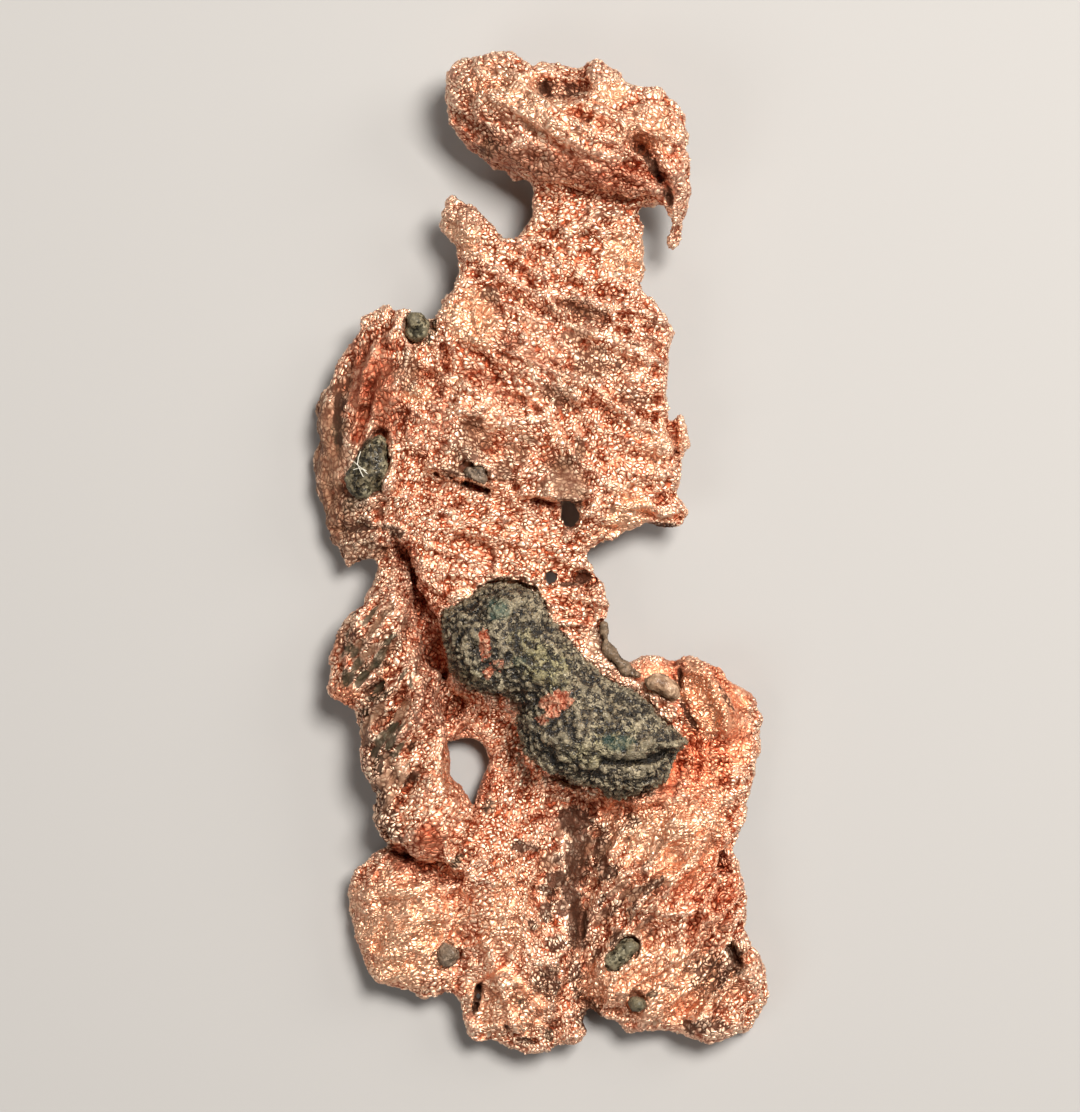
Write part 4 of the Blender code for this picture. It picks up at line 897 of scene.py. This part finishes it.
class Recipe:
    """Adds nodes to a material or a node group and joins them up."""

    def __init__(self, tree):
        self.tree = tree

    def node(self, kind, **settings):
        made = self.tree.nodes.new(kind)
        for name, value in settings.items():
            setattr(made, name, value)
        return made

    def join(self, source, target):
        self.tree.links.new(source, target)

    def feed(self, socket, value):
        if isinstance(value, bpy.types.NodeSocket):
            self.join(value, socket)
        elif isinstance(value, tuple) and len(value) == 3 and socket.type == "RGBA":
            socket.default_value = (*value, 1)
        else:
            socket.default_value = value

    def math(self, operation, first, second, clamp=False):
        made = self.node("ShaderNodeMath", operation=operation, use_clamp=clamp)
        self.feed(made.inputs[0], first)
        self.feed(made.inputs[1], second)
        return made.outputs[0]

    def plus(self, first, second, clamp=False):
        return self.math("ADD", first, second, clamp)

    def minus(self, first, second, clamp=False):
        return self.math("SUBTRACT", first, second, clamp)

    def times(self, first, second, clamp=False):
        return self.math("MULTIPLY", first, second, clamp)

    def tinted(self, share, colour, tint):
        return self.mix(share, colour, tint, "MULTIPLY")

    def mix(self, share, first, second, blend="MIX"):
        made = self.node("ShaderNodeMix", data_type="RGBA", blend_type=blend)
        self.feed(made.inputs["Factor"], share)
        self.feed(made.inputs["A"], first)
        self.feed(made.inputs["B"], second)
        return made.outputs["Result"]

    def span(self, value, low, high, to_low=0.0, to_high=1.0):
        made = self.node("ShaderNodeMapRange", interpolation_type="SMOOTHSTEP")
        self.feed(made.inputs["Value"], value)
        self.feed(made.inputs["From Min"], low)
        self.feed(made.inputs["From Max"], high)
        self.feed(made.inputs["To Min"], to_low)
        self.feed(made.inputs["To Max"], to_high)
        return made.outputs["Result"]

    def vector(self, operation, first, second):
        made = self.node("ShaderNodeVectorMath", operation=operation)
        self.feed(made.inputs[0], first)
        self.feed(made.inputs["Scale" if operation == "SCALE" else 1], second)
        return made.outputs["Vector"]

    def attribute(self, name):
        return self.node("ShaderNodeAttribute", attribute_name=name).outputs["Fac"]

    def place(self):
        return self.node("ShaderNodeTexCoord").outputs["Object"]

    def noise(self, place, size, detail=2.0):
        """Noise from 0 to 1 with swells about the given size, in millimetres."""
        made = self.node("ShaderNodeTexNoise")
        self.feed(made.inputs["Vector"], place)
        made.inputs["Scale"].default_value = 1 / (size * MM)
        made.inputs["Detail"].default_value = detail
        return made.outputs["Fac"]

    def crystals(self, place, scale):
        """Cells of one size: the distance from each one's middle, and its own colour split in three."""
        cells = self.node("ShaderNodeTexVoronoi")
        self.feed(cells.inputs["Vector"], place)
        self.feed(cells.inputs["Scale"], scale)
        split = self.node("ShaderNodeSeparateColor")
        self.join(cells.outputs["Color"], split.inputs["Color"])
        return cells.outputs["Distance"], split.outputs

    def group(self, group, **values):
        made = self.node("ShaderNodeGroup", node_tree=group)
        for name, value in values.items():
            self.feed(made.inputs[name.replace("_", " ").capitalize()], value)
        return made.outputs


# Kinds of socket
FLOAT = "NodeSocketFloat"
COLOUR = "NodeSocketColor"
GEOMETRY = "NodeSocketGeometry"


def new_group(name, inputs, outputs):
    """A shader node group with its sockets, its inner recipe and its end nodes."""
    group = bpy.data.node_groups.new(name, "ShaderNodeTree")
    for label, (kind, value) in inputs.items():
        socket = group.interface.new_socket(label, in_out="INPUT", socket_type=kind)
        socket.default_value = value
    for label, kind in outputs.items():
        group.interface.new_socket(label, in_out="OUTPUT", socket_type=kind)
    recipe = Recipe(group)
    start = recipe.node("NodeGroupInput").outputs
    end = recipe.node("NodeGroupOutput").inputs
    return group, recipe, start, end


def grain_field(recipe, place):
    """Beads of copper packed side by side, in nodes that both kinds of tree have.

    place is in millimetres. Gives each point's height, 0 to 1, and its bead's number."""
    wander = recipe.node("ShaderNodeTexNoise")
    recipe.feed(wander.inputs["Vector"], place)
    wander.inputs["Scale"].default_value = 1 / GRAIN_CROOK
    wander.inputs["Detail"].default_value = 1
    push = recipe.vector("SUBTRACT", wander.outputs["Color"], (0.5, 0.5, 0.5))
    push = recipe.vector("SCALE", push, GRAIN_CROOK)
    crooked = recipe.vector("ADD", place, push)
    beads = recipe.node("ShaderNodeTexVoronoi")
    borders = recipe.node("ShaderNodeTexVoronoi", feature="DISTANCE_TO_EDGE")
    for cells in (beads, borders):
        recipe.feed(cells.inputs["Vector"], crooked)
        cells.inputs["Scale"].default_value = 1 / GRAIN_SIZE
    split = recipe.node("ShaderNodeSeparateXYZ")
    recipe.join(beads.outputs["Color"], split.inputs["Vector"])
    off = recipe.math("DIVIDE", beads.outputs["Distance"], BEAD_REACH)
    dome = recipe.minus(1, recipe.times(off, off), clamp=True)
    border = recipe.span(borders.outputs["Distance"], 0, BEAD_GAP)
    tall = recipe.plus(0.5, recipe.times(split.outputs["Y"], 0.5))
    bead = recipe.times(recipe.times(dome, border), tall)
    return bead, split.outputs["X"]


def grains_on_mesh():
    """Geometry nodes that push every point out by its bead's height."""
    group = bpy.data.node_groups.new("grains on the mesh", "GeometryNodeTree")
    group.interface.new_socket("Geometry", in_out="INPUT", socket_type=GEOMETRY)
    group.interface.new_socket("Geometry", in_out="OUTPUT", socket_type=GEOMETRY)
    recipe = Recipe(group)

    def named(name, kind):
        made = recipe.node("GeometryNodeInputNamedAttribute", data_type=kind)
        made.inputs["Name"].default_value = name
        return made.outputs["Attribute"]

    height, _ = grain_field(recipe, named("rest", "FLOAT_VECTOR"))
    strength = recipe.times(named("strength", "FLOAT"), 2 * GRAIN_HEIGHT * MM)
    rise = recipe.times(recipe.minus(height, GRAIN_LEVEL), strength)
    normal = recipe.node("GeometryNodeInputNormal").outputs["Normal"]
    move = recipe.node("GeometryNodeSetPosition")
    recipe.join(recipe.node("NodeGroupInput").outputs["Geometry"], move.inputs["Geometry"])
    recipe.join(recipe.vector("SCALE", normal, rise), move.inputs["Offset"])
    recipe.join(move.outputs["Geometry"], recipe.node("NodeGroupOutput").inputs["Geometry"])
    return group


def copper_grains_group():
    """The same beads in the finish: their height for the colour and the bump, and each one's number."""
    group, recipe, _, end = new_group("copper grains", {}, {"Height": FLOAT, "Number": FLOAT})
    place = recipe.node("ShaderNodeAttribute", attribute_name="rest").outputs["Vector"]
    height, number = grain_field(recipe, place)
    recipe.join(height, end["Height"])
    recipe.join(number, end["Number"])
    return group


def crystal_facets_group():
    """Tiny crystal faces: a height for the bump."""
    inputs = {"Face size": (FLOAT, 0.25)}
    group, recipe, start, end = new_group("crystal facets", inputs, {"Height": FLOAT})
    place = recipe.place()
    scale = recipe.math("DIVIDE", 1 / MM, start["Face size"])
    distance, _ = recipe.crystals(place, scale)
    noise = recipe.node("ShaderNodeTexNoise")
    recipe.feed(noise.inputs["Vector"], place)
    recipe.feed(noise.inputs["Scale"], scale)
    noise.inputs["Detail"].default_value = 2
    lumpy = recipe.times(noise.outputs["Fac"], 0.8)
    recipe.join(recipe.plus(recipe.minus(1, distance), lumpy), end["Height"])
    return group


# The copper's colours, each with the one that it drifts to from place to place or from bead to bead; several
# of them are painted light or shade
# Painted shade between the beads, on the red-brown of the copper's oxide there
GAP_SHADE_COLOURS = ((0.36, 0.068, 0.024), (0.30, 0.078, 0.034))
BODY_COLOURS = ((0.86, 0.4, 0.24), (0.84, 0.42, 0.28))
# Painted highlights: the tops of the beads are near-white cream
CREST_HIGHLIGHT_COLOURS = ((1.0, 0.62, 0.42), (1.0, 0.82, 0.62))
# Painted highlight on raised places
RAISED_HIGHLIGHT_COLOUR = (1.0, 0.74, 0.56)
# Painted light
PAINTED_LIGHT_COLOUR = (1.0, 0.61, 0.39)
# Painted shade in hollows
HOLLOW_SHADE_TINT = (0.48, 0.31, 0.25)
ROSY_TINT = (0.97, 0.63, 0.5)
# Deeper red: the copper's own colour in some places, painted shade in others
RED_AND_SHADE_TINT = (0.52, 0.3, 0.24)

# The dirt on it; the umber is also painted shade in cracks, pits and shaded recesses, and the earth and moss
# are painted darker in the bead gaps as shade
UMBER_AND_SHADE_COLOUR = (0.075, 0.027, 0.014)
EARTH_COLOURS = ((0.22, 0.1, 0.05), (0.43, 0.225, 0.12))
# Painted shade on the earth in the gaps between beads
EARTH_SHADE_IN_GAPS = (0.1, 0.036, 0.017)
MOSS_COLOURS = ((0.028, 0.042, 0.028), (0.125, 0.088, 0.042))
# Painted shade on the moss in the gaps between beads
MOSS_SHADE_IN_GAPS = (0.03, 0.02, 0.01)

# The rock's painted shade in its hollows, its darker places and its teal
ROCK_HOLLOW_SHADE_TINT = (0.22, 0.19, 0.16)
ROCK_CLOUD_TINT = (0.5, 0.45, 0.4)
TEAL_COLOUR = (0.04, 0.13, 0.1)


def copper_colour_group():
    """The colour of grainy copper, from painted shade in its gaps to painted highlights on its crests, with
    painted shade in hollows and painted light on raised and bright places.
    """
    inputs = {name: (FLOAT, 0.5) for name in ("Crest", "Number", "Hollow")}
    inputs.update({name: (FLOAT, 0.0) for name in ("Red", "Bright", "Rosy")})
    outputs = {"Color": COLOUR, "Roughness": FLOAT}
    group, recipe, start, end = new_group("copper colour", inputs, outputs)
    place = recipe.place()
    cloud = recipe.noise(place, 6, 3)
    gap = recipe.mix(cloud, *GAP_SHADE_COLOURS)
    body = recipe.mix(recipe.span(cloud, 0.35, 0.65), *BODY_COLOURS)
    crest = recipe.mix(start["Number"], *CREST_HIGHLIGHT_COLOURS)
    # Painted shade: the gaps between the beads are dark red-brown
    colour = recipe.mix(recipe.span(start["Crest"], -0.02, 0.33), gap, body)
    # Painted highlights on the tops of the beads
    colour = recipe.mix(recipe.span(start["Crest"], 0.2, 0.52), colour, crest)
    # Painted highlight: raised places are lighter
    colour = recipe.mix(recipe.span(start["Hollow"], 0.45, 0.1, 0, 0.3), colour, RAISED_HIGHLIGHT_COLOUR)
    # Painted shade: hollows are darker
    colour = recipe.tinted(recipe.span(start["Hollow"], 0.52, 0.95), colour, HOLLOW_SHADE_TINT)
    colour = recipe.tinted(start["Rosy"], colour, ROSY_TINT)
    # Deeper red: partly the copper's own colour, partly painted shade
    colour = recipe.tinted(start["Red"], colour, RED_AND_SHADE_TINT)
    # Painted light where the copper is lit more
    light = recipe.times(start["Bright"], 0.6)
    recipe.join(recipe.mix(light, colour, PAINTED_LIGHT_COLOUR), end["Color"])
    rough = recipe.span(recipe.noise(place, 0.3, 3), 0.3, 0.7, 0.4, 0.56)
    rough = recipe.plus(rough, recipe.times(start["Red"], 0.12))
    rough = recipe.minus(rough, recipe.times(start["Bright"], 0.06))
    recipe.join(rough, end["Roughness"])
    return group


def rock_colour_group():
    """Salt-and-pepper rock: dark, mid and pale crystals of three given colours, with painted glints in small
    specks, painted shade in its hollows and painted highlights on its raised points.
    """
    inputs = {"Crystal size": (FLOAT, 0.35), "Dark": (COLOUR, (0.02, 0.02, 0.015, 1)),
              "Middle": (COLOUR, (0.09, 0.1, 0.07, 1)),
              "Pale": (COLOUR, (0.4, 0.4, 0.34, 1)), "Paleness": (FLOAT, 0.2)}
    outputs = {"Color": COLOUR, "Roughness": FLOAT}
    group, recipe, start, end = new_group("rock crystals", inputs, outputs)
    place = recipe.place()
    scale = recipe.math("DIVIDE", 1 / MM, start["Crystal size"])
    _, kind = recipe.crystals(place, scale)
    cloud = recipe.noise(place, 1.6, 3)
    pick = recipe.plus(kind["Red"], recipe.minus(cloud, 0.5))
    colour = recipe.mix(recipe.span(pick, 0.2, 0.6), start["Dark"], start["Middle"])
    edge = recipe.minus(1.05, start["Paleness"])
    pale = recipe.span(pick, recipe.minus(edge, 0.4), edge)
    # Painted glints: small pale specks
    glint_speck = recipe.span(recipe.noise(place, 0.22, 2), 0.6, 0.7, 0, 0.8)
    glint_speck = recipe.times(glint_speck, recipe.plus(start["Paleness"], 0.45))
    pale = recipe.math("MAXIMUM", pale, glint_speck, clamp=True)
    colour = recipe.mix(pale, colour, start["Pale"])
    hollow = recipe.attribute("hollow")
    # Painted shade in the hollows between crystals
    colour = recipe.tinted(recipe.span(hollow, 0.46, 0.6), colour, ROCK_HOLLOW_SHADE_TINT)
    colour = recipe.tinted(recipe.span(recipe.noise(place, 2.2, 3), 0.56, 0.4), colour, ROCK_CLOUD_TINT)
    # Painted highlights: raised points are paler
    colour = recipe.mix(recipe.span(hollow, 0.46, 0.3, 0, 0.42), colour, start["Pale"])
    recipe.join(colour, end["Color"])
    recipe.join(recipe.span(kind["Green"], 0.1, 0.9, 0.22, 0.8), end["Roughness"])
    return group


def new_material(name, **constants):
    """A material, the recipe of its nodes and its shader, whose sockets are set to the constants."""
    material = bpy.data.materials.new(name)
    material.use_nodes = True
    shader = material.node_tree.nodes["Principled BSDF"]
    for label, value in constants.items():
        shader.inputs[label.replace("_", " ")].default_value = value
    return material, Recipe(material.node_tree), shader


def add_bump(recipe, shader, height, depth):
    bump = recipe.node("ShaderNodeBump")
    bump.inputs["Distance"].default_value = depth * MM
    recipe.feed(bump.inputs["Height"], height)
    recipe.join(bump.outputs["Normal"], shader.inputs["Normal"])


def native_copper(groups):
    material, recipe, shader = new_material("grainy native copper", Specular_IOR_Level=0.3)
    place = recipe.place()
    grains = recipe.group(groups["grains"])
    strength = recipe.times(recipe.attribute("strength"), 2, clamp=True)
    uneven = recipe.span(recipe.noise(place, 0.3, 3), 0.3, 0.7, -0.18, 0.18)
    clumps = recipe.span(recipe.noise(place, 1.5, 2), 0.32, 0.68, -0.13, 0.13)
    crest = recipe.plus(recipe.plus(grains["Height"], uneven), clumps)
    level = recipe.minus(1, strength)
    crest = recipe.plus(recipe.times(crest, strength), recipe.times(level, 0.4))
    masks = {name: recipe.attribute(name) for name in ("red", "bright", "rosy", "hollow")}
    copper = recipe.group(groups["copper"], crest=crest, number=grains["Number"], **masks)
    fine = recipe.noise(place, 0.6, 4)
    hollow = recipe.span(crest, 0.6, 0.1)

    def stain(name, spread, most):
        """A stain lies in the gaps first and covers the crests only where it is strong."""
        mask = recipe.attribute(name)
        ragged = recipe.times(recipe.minus(fine, 0.5), 0.9)
        reach = recipe.plus(recipe.times(mask, 0.8), ragged)
        cover = recipe.plus(reach, recipe.times(hollow, spread))
        cover = recipe.times(recipe.span(cover, 0.35, 0.95), recipe.span(mask, 0.03, 0.3))
        return recipe.times(cover, most)

    # Umber: dark tarnish in places, painted shade along cracks, pits and recesses in others
    umber_and_shade = stain("umber_and_shade", 0.5, 0.94)
    earth = stain("earth", 0.5, 0.85)
    green = stain("green", 0.4, 0.92)
    tan = recipe.mix(recipe.noise(place, 0.9, 4), *EARTH_COLOURS)
    # Painted shade: the earth is darker in the gaps between beads
    tan = recipe.mix(hollow, tan, EARTH_SHADE_IN_GAPS)
    moss = recipe.mix(recipe.noise(place, 0.7, 2), *MOSS_COLOURS)
    # Painted shade: the moss is darker in the gaps between beads
    moss = recipe.mix(hollow, moss, MOSS_SHADE_IN_GAPS)
    colour = recipe.mix(earth, copper["Color"], tan)
    colour = recipe.mix(umber_and_shade, colour, UMBER_AND_SHADE_COLOUR)
    colour = recipe.mix(green, colour, moss)
    recipe.join(colour, shader.inputs["Base Color"])
    dirt = recipe.math("MAXIMUM", recipe.times(umber_and_shade, 0.4), recipe.math("MAXIMUM", earth, green))
    metal = recipe.minus(0.92, recipe.times(dirt, 0.75), clamp=True)
    recipe.join(metal, shader.inputs["Metallic"])
    rough = recipe.plus(copper["Roughness"], recipe.times(dirt, 0.2), clamp=True)
    recipe.join(rough, shader.inputs["Roughness"])
    facets = recipe.group(groups["facets"], face_size=0.16)
    beads = recipe.times(grains["Height"], strength)
    height = recipe.plus(beads, recipe.times(facets["Height"], 0.16))
    add_bump(recipe, shader, height, 0.15)
    return material


def dark_lump_rock(groups):
    material, recipe, shader = new_material("dark greenish lump", Specular_IOR_Level=0.6)
    green = recipe.attribute("green")
    pale = recipe.plus(0.06, recipe.times(recipe.attribute("pale"), 0.26))
    rock = recipe.group(groups["rock"], crystal_size=0.17, dark=(0.014, 0.009, 0.005),
                        middle=(0.056, 0.042, 0.024), pale=(0.42, 0.35, 0.23), paleness=pale)
    olive = recipe.group(groups["rock"], crystal_size=0.17, dark=(0.022, 0.018, 0.007),
                         middle=(0.095, 0.085, 0.034), pale=(0.4, 0.35, 0.18), paleness=0.2)
    colour = recipe.mix(recipe.times(green, 0.85), rock["Color"], olive["Color"])
    colour = recipe.mix(recipe.times(recipe.attribute("teal"), 0.4), colour, TEAL_COLOUR)
    copper = recipe.group(groups["copper"], crest=recipe.attribute("grain"),
                          number=recipe.attribute("number"), red=0.8)
    ragged = recipe.span(recipe.noise(recipe.place(), 0.5, 3), 0.3, 0.7, -0.35, 0.2)
    shows = recipe.span(recipe.plus(recipe.attribute("copper"), ragged), 0.4, 0.75)
    recipe.join(recipe.mix(shows, colour, copper["Color"]), shader.inputs["Base Color"])
    recipe.join(recipe.times(shows, 0.8), shader.inputs["Metallic"])
    rough = recipe.math("MAXIMUM", rock["Roughness"], recipe.times(shows, 0.5))
    recipe.join(rough, shader.inputs["Roughness"])
    facets = recipe.group(groups["facets"], face_size=0.22)
    add_bump(recipe, shader, facets["Height"], 0.12)
    return material


def small_rock(groups, name, size, dark, middle, pale, paleness, gloss):
    material, recipe, shader = new_material(name, **gloss)
    rock = recipe.group(groups["rock"], crystal_size=size, dark=dark, middle=middle, pale=pale,
                        paleness=paleness)
    recipe.join(rock["Color"], shader.inputs["Base Color"])
    recipe.join(rock["Roughness"], shader.inputs["Roughness"])
    facets = recipe.group(groups["facets"], face_size=0.2)
    add_bump(recipe, shader, facets["Height"], 0.05)
    return material


# ---- the studio ----------------------------------------------------------------------------------

# The camera looks straight down: lens and sensor, the plan that the picture takes in, and at what height
CAMERA_LENS = 135
SENSOR = 36
FRAME_HEIGHT = 111.2
VIEW_LEVEL = 7

# Soft square lights: place and width in metres, power in watts
SOFTBOXES = {
    "key softbox": ((0.19, 0.2, 0.58), 0.22, 6.2),
    "side softbox": ((0.5, 0.25, 0.35), 0.3, 1.2),
    "fill softbox": ((-0.42, -0.3, 0.5), 0.35, 1.15),
}
WARM_LIGHT = (1, 0.95, 0.89)
ROOM_COLOUR = (1, 0.94, 0.88, 1)
ROOM_LIGHT = 0.1
FLOOR_COLOUR = (0.42, 0.415, 0.41, 1)
FLOOR_REACH = 1.5


def make_floor():
    shape = bmesh.new()
    bmesh.ops.create_grid(shape, x_segments=1, y_segments=1, size=FLOOR_REACH)
    floor = finished(shape, "floor")
    material, *_ = new_material("pale floor", Base_Color=FLOOR_COLOUR, Roughness=0.8)
    floor.data.materials.append(material)


def add_softbox(name, place, size, power):
    """A soft square light that faces the middle of the nugget."""
    light = bpy.data.lights.new(name, "AREA")
    light.shape = "SQUARE"
    light.size = size
    light.energy = power
    light.color = WARM_LIGHT
    lamp = new_object(name, light)
    lamp.location = place
    lamp.rotation_euler = (-lamp.location).to_track_quat("-Z", "Y").to_euler()


def make_studio():
    make_floor()
    for name, (place, size, power) in SOFTBOXES.items():
        add_softbox(name, place, size, power)
    scene = bpy.context.scene
    scene.world = bpy.data.worlds.new("dim room")
    scene.world.use_nodes = True
    room = scene.world.node_tree.nodes["Background"]
    room.inputs["Color"].default_value = ROOM_COLOUR
    room.inputs["Strength"].default_value = ROOM_LIGHT
    camera = bpy.data.cameras.new("camera")
    camera.lens = CAMERA_LENS
    camera.sensor_width = SENSOR
    eye = new_object("camera", camera)
    eye.location = (0, 0, (VIEW_LEVEL + FRAME_HEIGHT * CAMERA_LENS / SENSOR) * MM)
    scene.camera = eye
    scene.view_settings.view_transform = "Standard"


# ---- putting it together -------------------------------------------------------------------------

def place_piece(piece, node, material):
    piece.data.materials.clear()
    piece.data.materials.append(material)
    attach(piece, "root")
    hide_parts(node)


def make_nugget():
    groups = {"grains": copper_grains_group(), "facets": crystal_facets_group(),
              "copper": copper_colour_group(), "rock": rock_colour_group()}
    copper = native_copper(groups)
    for piece in make_copper():
        place_piece(piece, "copper_nugget", copper)
    place_piece(make_lump(), "matrix_lump", dark_lump_rock(groups))
    finishes = {name: small_rock(groups, name, *finish) for name, finish in ROCK_FINISHES.items()}
    for node, (slot, finish, growth) in SMALL_ROCKS.items():
        rock = make_small_rock(node, growth)
        place_piece(rock, node, finishes[finish])
        if node == "matrix_patch_left":
            white, *_ = new_material("pale fibre", Base_Color=FIBRE_COLOUR, Roughness=0.6)
            place_piece(make_fibres(rock), node, white)


make_nugget()
make_studio()
